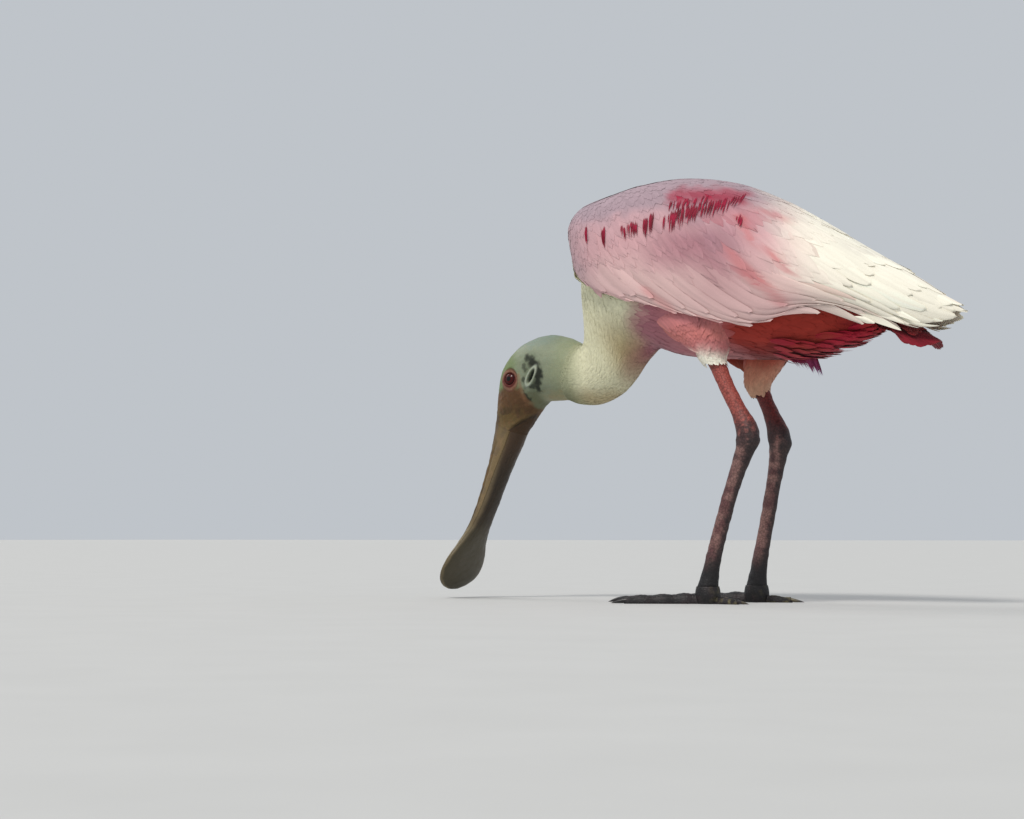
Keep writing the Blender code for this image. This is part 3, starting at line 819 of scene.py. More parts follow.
class Tone:
    """Colours as display values, set against the photo and corrected for these lights."""

    SHELL = rgb(210, 164, 168)
    PALE_PINK = rgb(230, 194, 190)
    PINK = rgb(192, 122, 126)
    MAUVE = rgb(150, 94, 108)
    GREY_PINK = rgb(152, 134, 144)
    CREAM = rgb(250, 244, 226)
    CARMINE = rgb(156, 16, 56)
    DEEP_CARMINE = rgb(104, 4, 32)
    ROSE = rgb(206, 116, 116)
    SALMON = rgb(202, 120, 112)
    # FLANK_RED is the flank's own red darkened by painted shade from the wing, FLANK_PINK is a painted
    # highlight at the flank's top, and FLANK_DARK is mostly painted shade along the belly.
    FLANK_RED = rgb(158, 52, 42)
    FLANK_PINK = rgb(178, 92, 78)
    FLANK_DARK = rgb(118, 24, 24)
    TAIL_RED = rgb(132, 10, 38)
    NECK_WHITE = rgb(222, 219, 186)
    # NECK_OCHRE serves as the painted shade on the neck's rear and underside.
    NECK_OCHRE = rgb(168, 142, 92)
    HEAD_PALE = rgb(134, 142, 120)
    HEAD_GREEN = rgb(106, 122, 78)
    HEAD_GREY = rgb(112, 128, 118)
    JAW_GREEN = rgb(96, 98, 70)
    EAR_BLACK = rgb(30, 34, 24)
    EYE_SKIN = rgb(128, 90, 72)
    EYE_RIM = rgb(84, 20, 17)
    STRIP_TAN = rgb(138, 98, 68)
    LORE_BROWN = rgb(92, 64, 38)
    BILL_TAN = rgb(98, 78, 44)
    BILL_DARK = rgb(50, 38, 22)
    BILL_GREY = rgb(86, 80, 60)
    MANDIBLE = rgb(68, 48, 28)
    LEG_RED = rgb(180, 92, 82)
    LEG_PALE = rgb(142, 106, 100)
    LEG_DARK = rgb(50, 42, 44)
    FOOT_BLACK = rgb(34, 32, 34)
    NAPE_GREEN = rgb(140, 146, 114)
    THIGH_TAN = rgb(196, 136, 112)
    THIGH_HEM = rgb(214, 176, 146)
    BILL_RIM = rgb(168, 148, 112)
    EAR_SHADE = rgb(98, 108, 82)
    EAR_PALE = rgb(180, 188, 168)
    LID_BROWN = rgb(110, 64, 50)
    LID_FOLD = rgb(104, 62, 46)
    IRIS_RED = rgb(62, 5, 4)
    IRIS_DARK = rgb(28, 3, 3)
    IRIS_RAY = rgb(100, 18, 12)
    EYE_EDGE = rgb(60, 22, 20)
    # SHANK_DARK is the shank's red in painted shade, for the far leg.
    SHANK_DARK = rgb(92, 18, 26)
    TARSUS_BROWN = rgb(106, 70, 70)
    SOLE_YELLOW = rgb(150, 140, 92)
    FRINGE_CRIMSON = rgb(168, 26, 50)
    TUFT_PURPLE = rgb(140, 60, 96)
    TUFT_VIOLET = rgb(168, 150, 196)
    TAIL_DARK = rgb(90, 6, 20)
    TAIL_TIP = rgb(196, 84, 84)


# Rose streaks on the folded wing, and the black markings about the ear.
WING_MARKS = (
    Mark((-43.0, 236.0), (-23.0, 220.0), 6.0, 0.75),
    Mark((30.0, 259.0), (69.0, 222.0), 6.5, 0.75),
    Mark((33.0, 250.0), (52.0, 232.0), 3.5, 0.55),
    Mark((59.0, 260.0), (79.0, 239.0), 3.5, 0.7),
    Mark((33.0, 286.0), (46.0, 268.0), 4.5, 0.75),
    Mark((47.0, 292.0), (66.0, 283.0), 3.5, 0.6),
    Mark((140.0, 257.0), (159.0, 244.0), 3.5, 0.7),
    Mark((161.0, 238.0), (188.0, 221.0), 4.5, 0.55),
)
EAR_MARKS = (
    Mark((-178.5, 195.0), (-172.6, 190.5), 4.2, 0.85),
    Mark((-172.6, 190.0), (-167.4, 185.0), 5.6),
    Mark((-167.6, 185.5), (-166.2, 179.0), 5.6),
    Mark((-166.8, 180.0), (-169.5, 173.5), 5.2),
    Mark((-169.5, 175.0), (-170.0, 168.0), 3.4, 0.9),
    Mark((-171.5, 171.5), (-178.0, 171.0), 3.0, 0.8),
    Mark((-181.0, 188.0), (-179.0, 184.0), 2.8, 0.6),
    Mark((-181.5, 178.0), (-180.0, 171.0), 2.6, 0.65),
    Mark((-183.2, 166.0), (-181.5, 160.5), 2.6, 0.8),
)


def wing_paint(points: Array) -> Array:
    """The wing's colours from x and z: grey mauve above, pale shell pink below, cream behind."""
    x, y, z = points[..., 0], np.abs(points[..., 1]), points[..., 2]
    patch, fine = cloud(points, 26.0, 3), cloud(points, 8.0, 4)
    colour = mix(Tone.SHELL, Tone.PALE_PINK, ramp(z + 10 * patch, 272, 236))
    colour = mix(colour, Tone.GREY_PINK, 0.85 * ramp(z + 5 * fine + 6 * patch, 286, 304))
    colour = mix(colour, Tone.GREY_PINK, 0.55 * ramp(x + 8 * fine, -86, -122))
    colour = mix(colour, Tone.PINK, 0.45 * ramp(z + 5 * fine + 0.35 * (x + 80), 244, 226) * ramp(x, 0, -60))
    colour = mix(colour, Tone.MAUVE, 0.85 * hill(x + 8 * fine, 0, 34) * hill(z + 6 * patch, 270, 15))
    colour = mix(colour, Tone.MAUVE, 0.5 * hill(x + 6 * fine, 22, 20) * hill(z, 248, 22))
    rear = ramp(x + 0.5 * (z - 240) + 9 * patch + 5 * fine, 56, 98)
    colour = mix(colour, Tone.CREAM, rear)
    smudge = 0.35 * ramp(fine + patch, 0.1, 0.8) * hill(x, 112, 26) * ramp(z + 0.62 * x, 322, 336)
    colour = mix(colour, Tone.GREY_PINK, smudge)
    for mark in WING_MARKS:
        colour = mix(colour, Tone.ROSE, mark.share(points, 1.4 * fine))
    stain = Mark((-26.0, 310.0), (24.0, 305.0), 10.0, 1.0).share(points, 3.5 * cloud(points, 6.0, 13))
    return mix(colour, Tone.CARMINE, stain * ramp(y, 12, 24))


def body_paint(points: Array) -> Array:
    """The body's colours: cream neck with painted ochre shade behind and beneath, mauve breast, pink flank
    with a painted highlight at its top, red behind, and painted shade darkest beneath.
    """
    x, z = points[..., 0], points[..., 2]
    patch, fine = cloud(points, 18.0, 5), cloud(points, 6.0, 6)
    pink = mix(Tone.PINK, Tone.MAUVE, 0.75 * ramp(x + 6 * patch, -14, -60))
    # Painted light on the flank: FLANK_PINK at the top is a painted highlight under the wing's edge, and the
    # darkening towards the bottom is painted shade, mixed with random darker mottling.
    red = mix(Tone.FLANK_PINK, Tone.FLANK_RED, ramp(z + 5 * patch + 3 * fine, 224, 209))
    dark = 0.9 * ramp(z + 4 * patch, 196, 187) + 0.3 * ramp(fine, 0.25, 0.7)
    red = mix(red, Tone.FLANK_DARK, np.clip(dark, 0, 1))
    red = mix(red, Tone.TAIL_RED, 0.55 * ramp(x + 6 * fine, 90, 126))
    colour = mix(pink, red, ramp(x + 5 * patch, 4, 22))
    # Painted shade: the neck turns ochre towards the body, which shades it, and along its underside.
    neck_shade = 0.8 * ramp(x + 0.5 * (z - 160) + 5 * patch, -100, -64) * ramp(z, 228, 190)
    neck = mix(Tone.NECK_WHITE, Tone.NECK_OCHRE, neck_shade)
    neck = mix(neck, Tone.NECK_OCHRE, 0.6 * ramp(z + 3 * fine, 171, 158))
    neck = mix(neck, Tone.NAPE_GREEN, 0.8 * ramp(x + 5 * patch, -122, -142))
    return mix(neck, colour, ramp(x - 0.42 * (z - 200) + 5 * patch, -88, -68))


def shoulder_paint(points: Array) -> Array:
    """The shoulders' colours: the wing's above, the neck's and the breast's below."""
    z = points[..., 2] + 5 * cloud(points, 7.0, 9)
    return mix(body_paint(points), wing_paint(points), ramp(z, 262, 288))


def thigh_paint(points: Array) -> Array:
    """The thighs' colours: salmon with a cream hem on the left, red fading to tan on the right."""
    y, z = points[..., 1], points[..., 2]
    fine = cloud(points, 5.0, 8)
    left = mix(Tone.PINK, Tone.SALMON, 0.8 * hill(z + 3 * fine, 204, 9))
    left = mix(left, Tone.CREAM, ramp(z + 3 * fine, 194, 187))
    right = mix(Tone.FLANK_RED, Tone.THIGH_TAN, ramp(z + 3 * fine, 192, 176))
    right = mix(right, Tone.THIGH_HEM, 0.7 * ramp(z + 3 * fine, 174, 165))
    return mix(left, right, ramp(y, -5, 5))


def above_mouth(x: Array, z: Array) -> Array:
    """The height above the line of the mouth, which climbs back from the bill."""
    return z - (155.0 + 0.63 * (x + 174.0))


def ear_place(points: Array, long: float, wide: float) -> Array:
    """The distance from the ear's slit, where 1 is an upright oval of these half sizes leaning back."""
    x, z = points[..., 0] + 174.3, points[..., 2] - 179.0
    return np.hypot((x - 0.6 * z) / wide, z / long)


def bill_paint(points: Array, upper: Array | float) -> Array:
    """The bill's colours: tan and olive with dark mottling above, red brown below, greyer on the spoon."""
    y, z = np.abs(points[..., 1]), points[..., 2]
    patch, fine = cloud(points, 8.0, 34), cloud(points * np.array((1.0, 1.0, 0.45)), 2.2, 35)
    top = mix(Tone.BILL_TAN, Tone.STRIP_TAN, 0.35 * ramp(fine, 0.0, 0.7))
    top = mix(top, Tone.BILL_GREY, ramp(z + 8 * patch, 84, 44))
    top = mix(top, Tone.BILL_DARK, 0.6 * ramp(patch + 0.6 * fine, 0.1, 0.6))
    low = mix(Tone.BILL_DARK, Tone.MANDIBLE, ramp(z, 96, 130))
    low = mix(low, Tone.BILL_GREY, 0.7 * ramp(z + 6 * patch, 70, 40))
    row = np.asarray(BILL_SLICES, float)[::-1]
    rim = hill(y - np.interp(z, (row[:, 1] + row[:, 3]) / 2, row[:, 4]), 0.0, 1.1)
    return mix(mix(low, top, upper + 0 * z), Tone.BILL_RIM, 0.3 * rim * ramp(z, 150, 130))


def head_paint(points: Array) -> Array:
    """The bare head's colours: pale crown, green brow, black about the ear, orange ring, brown lores."""
    x, y, z = points[..., 0], np.abs(points[..., 1]), points[..., 2]
    side = ramp(y, 6, 13)
    broad, fine, grit = cloud(points, 12.0, 11), cloud(points, 3.2, 12), cloud(points, 1.3, 14)
    front = ramp(x + 0.3 * (z - 185) + 6 * broad + 2 * fine, -182, -198)
    colour = mix(Tone.HEAD_PALE, Tone.HEAD_GREEN, front)
    colour = mix(colour, Tone.HEAD_GREY, 0.7 * ramp(z + 3 * fine, 199, 208))
    colour = mix(colour, Tone.NAPE_GREEN, 0.7 * ramp(x + 6 * broad + 2 * fine, -166, -146))
    cheek = 0.4 * ramp(z + 4 * fine, 171, 160) * ramp(x + 4 * broad, -178, -164)
    colour = mix(colour, Tone.NECK_OCHRE, cheek)
    colour = mix(colour, Tone.JAW_GREEN, 0.8 * ramp(z + 2 * fine, 171, 163) * ramp(x, -168, -176))
    black = np.zeros(x.shape)
    for mark in EAR_MARKS:
        black = np.maximum(black, mark.share(points, 1.3 * fine + 0.8 * grit))
    shade = Mark((-176.0, 190.0), (-172.0, 172.0), 12.0, 0.5).share(points, 2.5 * fine)
    colour = mix(colour, Tone.EAR_SHADE, shade * side)
    colour = mix(colour, Tone.EAR_BLACK, np.clip(black * 1.05, 0, 0.97) * side)
    colour = mix(colour, Tone.EAR_PALE, 0.9 * hill(ear_place(points, *EAR_RIM), 1.0, 0.22) * side)
    # Painted shade: the black within the ear's slit stands for the shade inside the ear's opening.
    colour = mix(colour, Tone.EAR_BLACK, ramp(ear_place(points, *EAR_SLIT), 1.1, 0.75) * side)
    low = z - 0.1 * (x + 190) + 1.4 * broad + 1.2 * fine
    lore = ramp(low, 173.5, 167.0) * ramp(x + 0.28 * (z - 160) + fine, -180.5, -184.5)
    brown = mix(Tone.LORE_BROWN, Tone.STRIP_TAN, 0.35 * ramp(fine + broad + 0.5 * grit, -0.3, 1.0))
    colour = mix(colour, brown, np.clip(lore, 0, 1))
    strip = Mark((-186.0, 180.0), (-184.0, 160.0), 2.6, 0.5).share(points, 0.5 * fine)
    strip = np.maximum(strip, Mark((-184.0, 160.0), (-177.5, 154.5), 2.6, 0.4).share(points, 0.5 * fine))
    colour = mix(colour, Tone.STRIP_TAN, strip * side)
    mouth = above_mouth(x, z)
    root = bill_paint(points, ramp(mouth + 0.6 * fine, -0.8, 0.8))
    colour = mix(colour, root, ramp(z + 0.3 * (x + 200) + 3.0 * fine + 2.0 * broad, 162, 147))
    jaw = 0.9 * ramp(mouth + 0.8 * fine, 0.5, -1.5) * ramp(x, -166, -172) * ramp(z, 158, 153)
    colour = mix(colour, Tone.MANDIBLE, jaw)
    colour = mix(colour, Tone.BILL_DARK, 0.8 * hill(mouth, 0.0, 0.9) * ramp(x, -170, -175))
    ring = np.hypot(x + 196.2, z - 176.8) + 0.35 * fine
    skin = mix(Tone.EYE_SKIN, Tone.LID_BROWN, ramp(grit + fine, -0.2, 0.9))
    colour = mix(colour, Tone.LID_FOLD, 0.75 * hill(ring, 8.9, 0.7) * side)
    colour = mix(colour, skin, ramp(ring, 9.0, 8.0) * side)
    return mix(colour, Tone.EYE_RIM, 0.9 * ramp(ring, 6.9, 5.7) * side)


def skin_paint(points: Array, place: Array) -> Array:
    """The skin's colours: the head's own, and under the coat the coat's, a little darker."""
    coat = body_paint(points) * 0.88
    bare = ramp(place + 0.25 * cloud(points, 6.0, 15), BARE_FROM - 1.0, BARE_FROM + 0.2)
    return mix(coat, head_paint(points), bare)


# Feathers of any kind.


@dataclass
class Plumage:
    """One kind of feather, set on a surface as a closed vane that is lens-shaped across.

    A vane is a grid of stations along it by points across it. At a share s of its length and e of its
    half width it lies at u0 + (u1 - u0) s, v0 + drift s + e w(s), at the height lift0 + (lift1 - lift0) s
    - camber e^2, with half its thickness times (1 - e^2) above and below. w(s) opens from the root as
    s^0.6 and closes on an ellipse, or on a straight line where pointed is 1.
    """

    name: str
    surface: Surface
    paint: Paint
    seed: int
    stations: int = 6
    across: int = 3
    lift: tuple[float, float] = (-0.5, 1.6)
    thick: float = 0.35
    camber: float = 0.5
    pointed: float = 0.0
    widest: float = 0.55
    tilt: float = 0.0
    tip_light: float = 0.08
    shaft_dark: float = 0.05
    ragged: float = 0.05
    spread: float = 9.0
    varied: float = 0.045
    barbed: float = 0.035
    own: float = 0.45

    def width(self, s: Array) -> Array:
        """The share of the half width at a share s of the length."""
        opening = np.clip(s / self.widest, 0.02, 1) ** 0.6
        t = np.clip((s - self.widest) / (1 - self.widest), 0, 1)
        rounded = np.sqrt(np.clip(1 - t**3.0, 0.0004, 1))
        return opening * ((1 - self.pointed) * rounded + self.pointed * np.clip(1 - t, 0.03, 1))

    def build(
        self, u0: Array, u1: Array, v0: Array, half: Array, drift: Array, base: Array | float = 0.0
    ) -> tuple:
        """The points, faces, colours and map of all vanes of this kind.

        Args:
            u0: each root's u.
            u1: each tip's u.
            v0: each root's v.
            half: each half width in millimetres.
            drift: the change of v from root to tip.
            base: a height added to each vane.

        Returns:
            Points, triangles, colours and map places, then the number of points in a ring, of points
            across a vane and of rings along it.
        """
        rng = np.random.default_rng(self.seed)
        n = len(u0)
        s = 1 - (1 - np.linspace(0, 1, self.stations + 1)) ** 1.3
        m = self.across
        top = np.linspace(-1, 1, m)
        e = np.concatenate([top, top[-2:0:-1]])
        face = np.concatenate([np.ones(m), -np.ones(m - 2)])

        def col(a: Array | float) -> Array:
            """One value for each vane, as a column."""
            return np.broadcast_to(np.asarray(a, float), (n,))[:, None]

        u = col(u0) + (col(u1) - col(u0)) * s
        mid = col(v0) + col(drift) * s
        _, across = self.surface.slopes(u, mid)
        speed = np.linalg.norm(across, axis=-1) + 1e-6
        wide = col(half) * self.width(s) * (1 + self.ragged * rng.uniform(-1, 1, (n, len(s))))
        v = mid[..., None] + np.minimum(wide / speed, self.spread)[..., None] * e
        u = u[..., None] + 0 * e
        swell = self.thick / 2 * (1 - e**2) * face
        rise = self.lift[0] + (self.lift[1] - self.lift[0]) * s
        height = (col(base) + rise)[..., None] + swell * (1 - 0.5 * s)[:, None]
        height = height - self.camber * e**2 * self.width(s)[:, None] + self.tilt * e
        points = self.surface.raised(u, v, height)
        centre = self.surface.at(col(u0) + (col(u1) - col(u0)) * 0.55, col(v0) + col(drift) * 0.55)[:, 0]
        shade = 1 + self.varied * rng.normal(0, 1, n)[:, None, None, None]
        colour = self.paint(points) * (1 - self.own) + self.paint(centre)[:, None, None, :] * self.own
        light = 1 + self.tip_light * (s[:, None] - 0.5) - self.shaft_dark * np.exp(-((e / 0.16) ** 2))
        streak, speck = rng.normal(0, 1, (n, 1, len(e))), rng.normal(0, 1, (n, len(s), len(e)))
        barb = 1 + self.barbed * (streak + 0.3 * speck)
        colour = np.clip(colour * np.clip(shade, 0.75, 1.25) * (light * barb)[..., None], 0, 1)
        low_u, high_u = float(np.min(u0)), float(np.max(u0)) + 1e-6
        low_v, high_v = float(np.min(v0)), float(np.max(v0)) + 1e-6
        root = np.stack([(col(u0) - low_u) / (high_u - low_u), (col(v0) - low_v) / (high_v - low_v)], -1)
        patch = np.stack([s[:, None] + 0 * e, (e + 1) / 2 + 0 * s[:, None]], -1)
        uv = root[:, :, None, :] * 0.995 + 0.003 * patch[None]
        ring, rows = len(e), len(s)
        i = np.arange(rows - 1)[:, None] * ring
        k = np.arange(ring)[None]
        nxt = (k + 1) % ring
        a, b, c, d = i + k, i + nxt, i + ring + nxt, i + ring + k
        tri = [np.stack([a, b, c], -1).reshape(-1, 3), np.stack([a, c, d], -1).reshape(-1, 3)]
        last = (rows - 1) * ring
        cap = []
        for j in range(1, m - 1):
            under = (2 * m - 2 - j) % ring
            before = (2 * m - 1 - j) % ring
            for first, flip in ((0, 1), (last, -1)):
                cap += [[first + j - 1, first + before, first + under][::flip]] if j > 1 else []
                cap += [[first + j - 1, first + under, first + j][::flip]]
        cap += [[m - 2, m, m - 1], [last + m - 1, last + m, last + m - 2]]
        tri = np.concatenate([*tri, np.array(cap)])
        faces = (tri[None] + (np.arange(n) * rows * ring)[:, None, None]).reshape(-1, 3)
        if self.surface.out > 0:
            faces = faces[:, ::-1]
        LOG.debug("%s: %d vanes", self.name, n)
        return points.reshape(-1, 3), faces, colour.reshape(-1, 3), uv.reshape(-1, 2), ring, m, rows


class Coat:
    """Feathers gathered into one piece."""

    def __init__(self, name: str) -> None:
        """Starts an empty piece."""
        self.name, self.parts = name, []

    def add(self, part: tuple) -> "Coat":
        """Adds what a Plumage built."""
        self.parts.append(part)
        return self

    def make(self, finish: bpy.types.Material) -> bpy.types.Object:
        """One object of all its vanes, smooth across each face and sharp along each vane's edges."""
        points, faces, colours, uvs, sharp = [], [], [], [], []
        start = 0
        for p, f, c, t, ring, m, rows in self.parts:
            points.append(p)
            faces.append(f + start)
            colours.append(c)
            uvs.append(t)
            k, row = np.arange(len(p)) % ring, np.arange(len(p)) // ring % rows
            side = (k == 0) + 2 * (k == m - 1)
            sharp.append(side + 4 * ((row == 0) | (row == rows - 1)))
            start += len(p)
        points, faces = np.concatenate(points), np.concatenate(faces)
        made = mesh_object(self.name, points, faces, np.concatenate(colours), np.concatenate(uvs))
        mark = np.concatenate(sharp)
        mesh = made.data
        ends = np.empty(len(mesh.edges) * 2, np.int32)
        mesh.edges.foreach_get("vertices", ends)
        ends = mark[ends.reshape(-1, 2)]
        edge = mesh.attributes.new("sharp_edge", "BOOLEAN", "EDGE")
        edge.data.foreach_set("value", (ends[:, 0] & ends[:, 1]) > 0)
        mesh.materials.append(finish)
        LOG.info("%s: %d triangles", self.name, len(faces))
        return made


def scatter(rng: np.random.Generator, rows: int, columns: int, jitter: float) -> tuple[Array, Array]:
    """Places in the unit square in staggered rows, each moved a little.

    Args:
        rng: the seeded source of chance.
        rows: rows along the first direction.
        columns: places in a row.
        jitter: the most a place moves, as a share of the step.

    Returns:
        The first and second coordinate of each place, row after row.
    """
    i, k = np.meshgrid(np.arange(rows), np.arange(columns), indexing="ij")
    a = (i + 0.5 + jitter * rng.uniform(-1, 1, i.shape)) / rows
    b = (k + 0.5 * (i % 2) + jitter * rng.uniform(-1, 1, i.shape)) / columns
    return a.ravel(), b.ravel() % 1.0


# The bird, part by part.


@dataclass
class Skin:
    """One skin over the torso, neck and head, with the thighs' tops and the wings' roots under it."""

    rows: int = 320
    head_rows: int = 220
    around: int = 240
    depth: float = 2.2

    def relief(self, points: Array) -> Array:
        """Head folds in millimetres: the mouth line, the ear's slit and its rim, and soft creases."""
        x, y, z = points[..., 0], np.abs(points[..., 1]), points[..., 2]
        side = ramp(y, 5, 14)
        fold = 0.7 * hill(ear_place(points, *EAR_RIM), 1.0, 0.3) * side
        fold -= 2.2 * ramp(ear_place(points, *EAR_SLIT), 1.15, 0.5) * side
        mouth = above_mouth(x, z)
        fold -= 0.9 * hill(mouth, 0.0, 0.9) * ramp(x, -170, -178) * ramp(y, 3, 8)
        fold += 0.35 * hill(mouth, 2.0, 1.6) * ramp(x, -172, -180) * ramp(y, 3, 8)
        crease = np.sin((x * 0.5 - z * 0.86) * 1.9 + 2.2 * cloud(points, 9.0, 21))
        fold += 0.05 * crease * ramp(z, 178, 160) * ramp(x, -158, -172)
        lore = ramp(z, 172, 165) * ramp(x, -180, -186)
        fold += 0.06 * np.sin((x * 0.9 + z * 0.35) * 1.7 + 3.5 * cloud(points, 6.0, 24)) * lore
        return fold + 0.16 * cloud(points, 2.4, 22) + 0.35 * cloud(points, 8.0, 23)

    def sleeve(self, turn: Array) -> Array:
        """Rings that carry the skin a little way over the bill's root and down into it."""
        place = np.array((0.03, 0.07, 0.11, 0.16, 0.2))
        row = catmull(BILL_SLICES, place)
        back, belly = row[:, :2], row[:, 2:4]
        grow = np.array((0.16, 0.13, 0.05, -0.12, -0.5))[:, None]
        size = np.linalg.norm(back - belly, axis=-1)[:, None] / 2
        middle, up = (back + belly) / 2, (back - belly) / 2
        cos = np.cos(turn) * (1 + grow / size)
        x = middle[:, :1] + up[:, :1] * cos
        z = middle[:, 1:] + up[:, 1:] * cos
        return np.stack([x, (row[:, 4:5] + grow) * np.sin(turn), z], -1)

    def set_eye(self, points: Array, side: Side) -> Array:
        """Draws the skin round one eye into lids.

        Within the opening the skin lies behind the eyeball. From its edge it rises over a rounded lid
        and two fine folds, then eases into the head by 10 mm from the eye's axis.
        """
        flip = np.array((1.0, side.sign, 1.0))
        centre, axis = EYE * flip, EYE_AXIS * flip
        q = points - centre
        h = q @ axis
        rho = np.linalg.norm(q - h[..., None] * axis, axis=-1)
        near = (h > -2) & (rho < 11)
        ball = np.sqrt(np.clip(EYE_RADIUS**2 - rho**2, 0, None))
        edge = math.sqrt(EYE_RADIUS**2 - LID_OPENING**2)
        folds = 0.55 * hill(rho, 5.9, 0.75) + 0.22 * hill(rho, 7.6, 0.6)
        lid = edge + 0.35 + folds - 0.08 * (rho - LID_OPENING)
        share = 1 - ramp(rho, 6.4, 10.2)
        target = share * lid + (1 - share) * h + 0.12 * hill(rho, 9.2, 0.6)
        hole = ramp(rho, LID_OPENING + 0.25, LID_OPENING - 0.65)
        target = hole * (ball - 1.4) + (1 - hole) * target
        return np.where(near[..., None], points + axis * (target - h)[..., None], points)

    def body_shell(self) -> tuple[Array, Array, Array]:
        """The points, faces and colours of the skin over the torso, neck and head."""
        flesh = Flesh()
        coarse = np.linspace(0.0, 11.9, self.rows - self.head_rows)
        place = np.concatenate([coarse, np.linspace(12.0, LAST_SLICE, self.head_rows)])
        turn = np.arange(self.around) * 2 * np.pi / self.around
        u, v = np.meshgrid(LAST_SLICE - place, turn, indexing="ij")
        bare = ramp(place, BARE_FROM - 1.2, BARE_FROM)[:, None] + 0 * v
        natural = flesh.at(u, v)
        end = ramp(place, LAST_SLICE, LAST_SLICE - 0.7)[:, None]
        deep = 0.9 + (self.depth - 0.9) * ramp(place, 9.6, 8.0)[:, None]
        rings = flesh.raised(u, v, -deep * (1 - bare) + self.relief(natural) * bare * end)
        for side in Side:
            rings = self.set_eye(rings, side)
        points, faces = capped_tube(np.concatenate([rings, self.sleeve(turn)]))
        places = np.full(len(points), LAST_SLICE)
        places[: u.size] = (LAST_SLICE - u).ravel()
        places[len(points) - 2 * self.around : len(points) - self.around] = 0.0
        return points, faces, skin_paint(points, places)

    def thigh_shell(self, side: Side) -> tuple[Array, Array, Array]:
        """The skin under a thigh's feathers."""
        thigh = Thigh(side)
        u, v = np.meshgrid(np.linspace(0, 3.9, 24), np.arange(40) * 2 * np.pi / 40, indexing="ij")
        points, faces = capped_tube(thigh.raised(u, v, -2.0 + 0 * u))
        return points, faces, mix(thigh_paint(points), np.zeros(3), 0.15 + 0 * points[:, 0])

    def wing_shell(self, side: Side) -> tuple[Array, Array, Array]:
        """The wing under its feathers, as two layers drawn in by different depths."""
        wing = WingFace(side)
        x, share = np.meshgrid(np.linspace(-121, 112, 60), np.linspace(0.0, 1.0, 40), indexing="ij")
        outer, inner = self.sunk(wing, x, share, 6.5), self.sunk(wing, x, share, 10.0)[:, ::-1]
        points, faces = capped_tube(np.concatenate([outer, inner], 1))
        return points, faces, mix(wing_paint(points), np.zeros(3), 0.1 + 0 * points[:, 0])

    def shoulder_shell(self) -> tuple[Array, Array, Array]:
        """The skin under the shoulders' feathers, as two layers set back by 2.2 and 4.2 mm."""
        u, v = np.meshgrid(np.linspace(-0.3, 0.98, 12), np.linspace(-1.6, 1.6, 160), indexing="ij")
        outer, inner = (Collar().at(u, v) + np.array((back, 0.0, 0.0)) for back in (2.2, 4.2))
        points, faces = capped_tube(np.concatenate([outer, inner[:, ::-1]], 1))
        return points, faces, mix(shoulder_paint(points), np.zeros(3), 0.1 + 0 * points[:, 0])

    def make(self, finish: bpy.types.Material) -> bpy.types.Object:
        """The skin as one object."""
        shells = [self.body_shell()]
        for side in Side:
            shells += [self.thigh_shell(side), self.wing_shell(side)]
        shells.append(self.shoulder_shell())
        points, faces = joined([(p, f) for p, f, _ in shells])
        made = faced_out(mesh_object("skin", points, faces, np.concatenate([c for _, _, c in shells])))
        made.data.materials.append(finish)
        LOG.info("skin: %d faces", len(made.data.polygons))
        return made

    def sunk(self, wing: WingFace, x: Array, share: Array, depth: float) -> Array:
        """The wing's section drawn in towards its middle by a depth."""
        p = wing.section(x, share)
        row = wing_row(x)
        middle = np.stack([x, 0 * x, row[..., 2]], -1)
        run = p - middle
        size = np.linalg.norm(run, axis=-1, keepdims=True)
        return middle + run * np.clip(1 - depth / size, 0.05, 1)


@dataclass
class Eyes:
    """The two eyes: spheres with a red iris and a black pupil about the eye's axis."""

    pupil: float = 1.9
    iris: float = 4.75

    def make(self, side: Side, finish: bpy.types.Material) -> bpy.types.Object:
        """One eye."""
        flip = np.array((1.0, side.sign, 1.0))
        axis = EYE_AXIS * flip
        across = np.cross(axis, (0.0, 0.0, 1.0))
        across /= np.linalg.norm(across)
        up = np.cross(across, axis)
        a, b = np.meshgrid(np.linspace(0.02, np.pi - 0.02, 72), np.arange(72) * np.pi / 36, indexing="ij")
        spot = (
            np.cos(a)[..., None] * axis
            + (np.sin(a) * np.cos(b))[..., None] * across
            + (np.sin(a) * np.sin(b))[..., None] * up
        )
        rings = EYE * flip + spot * (EYE_RADIUS - 0.05)
        points, faces = capped_tube(rings)
        q = points - EYE * flip
        rho = np.linalg.norm(q - (q @ axis)[:, None] * axis, axis=-1)
        turn = np.arctan2(q @ up, q @ across)
        rays = 0.5 + 0.5 * np.sin(turn * 34 + 3 * np.sin(turn * 7)) * np.sin(rho * 3)
        iris = mix(Tone.IRIS_RED, Tone.IRIS_DARK, ramp(rho, 2.8, 4.6))
        iris = mix(iris, Tone.IRIS_RAY, 0.3 * rays * ramp(rho, 1.8, 2.6))
        colour = mix(iris, np.full(3, 0.004), ramp(rho, self.pupil + 0.25, self.pupil - 0.1))
        colour = mix(colour, Tone.EYE_EDGE, ramp(rho, self.iris - 0.1, self.iris + 0.3))
        made = outward(mesh_object("eyeball_" + side.letter, points, faces, colour))
        made.data.materials.append(finish)
        return made


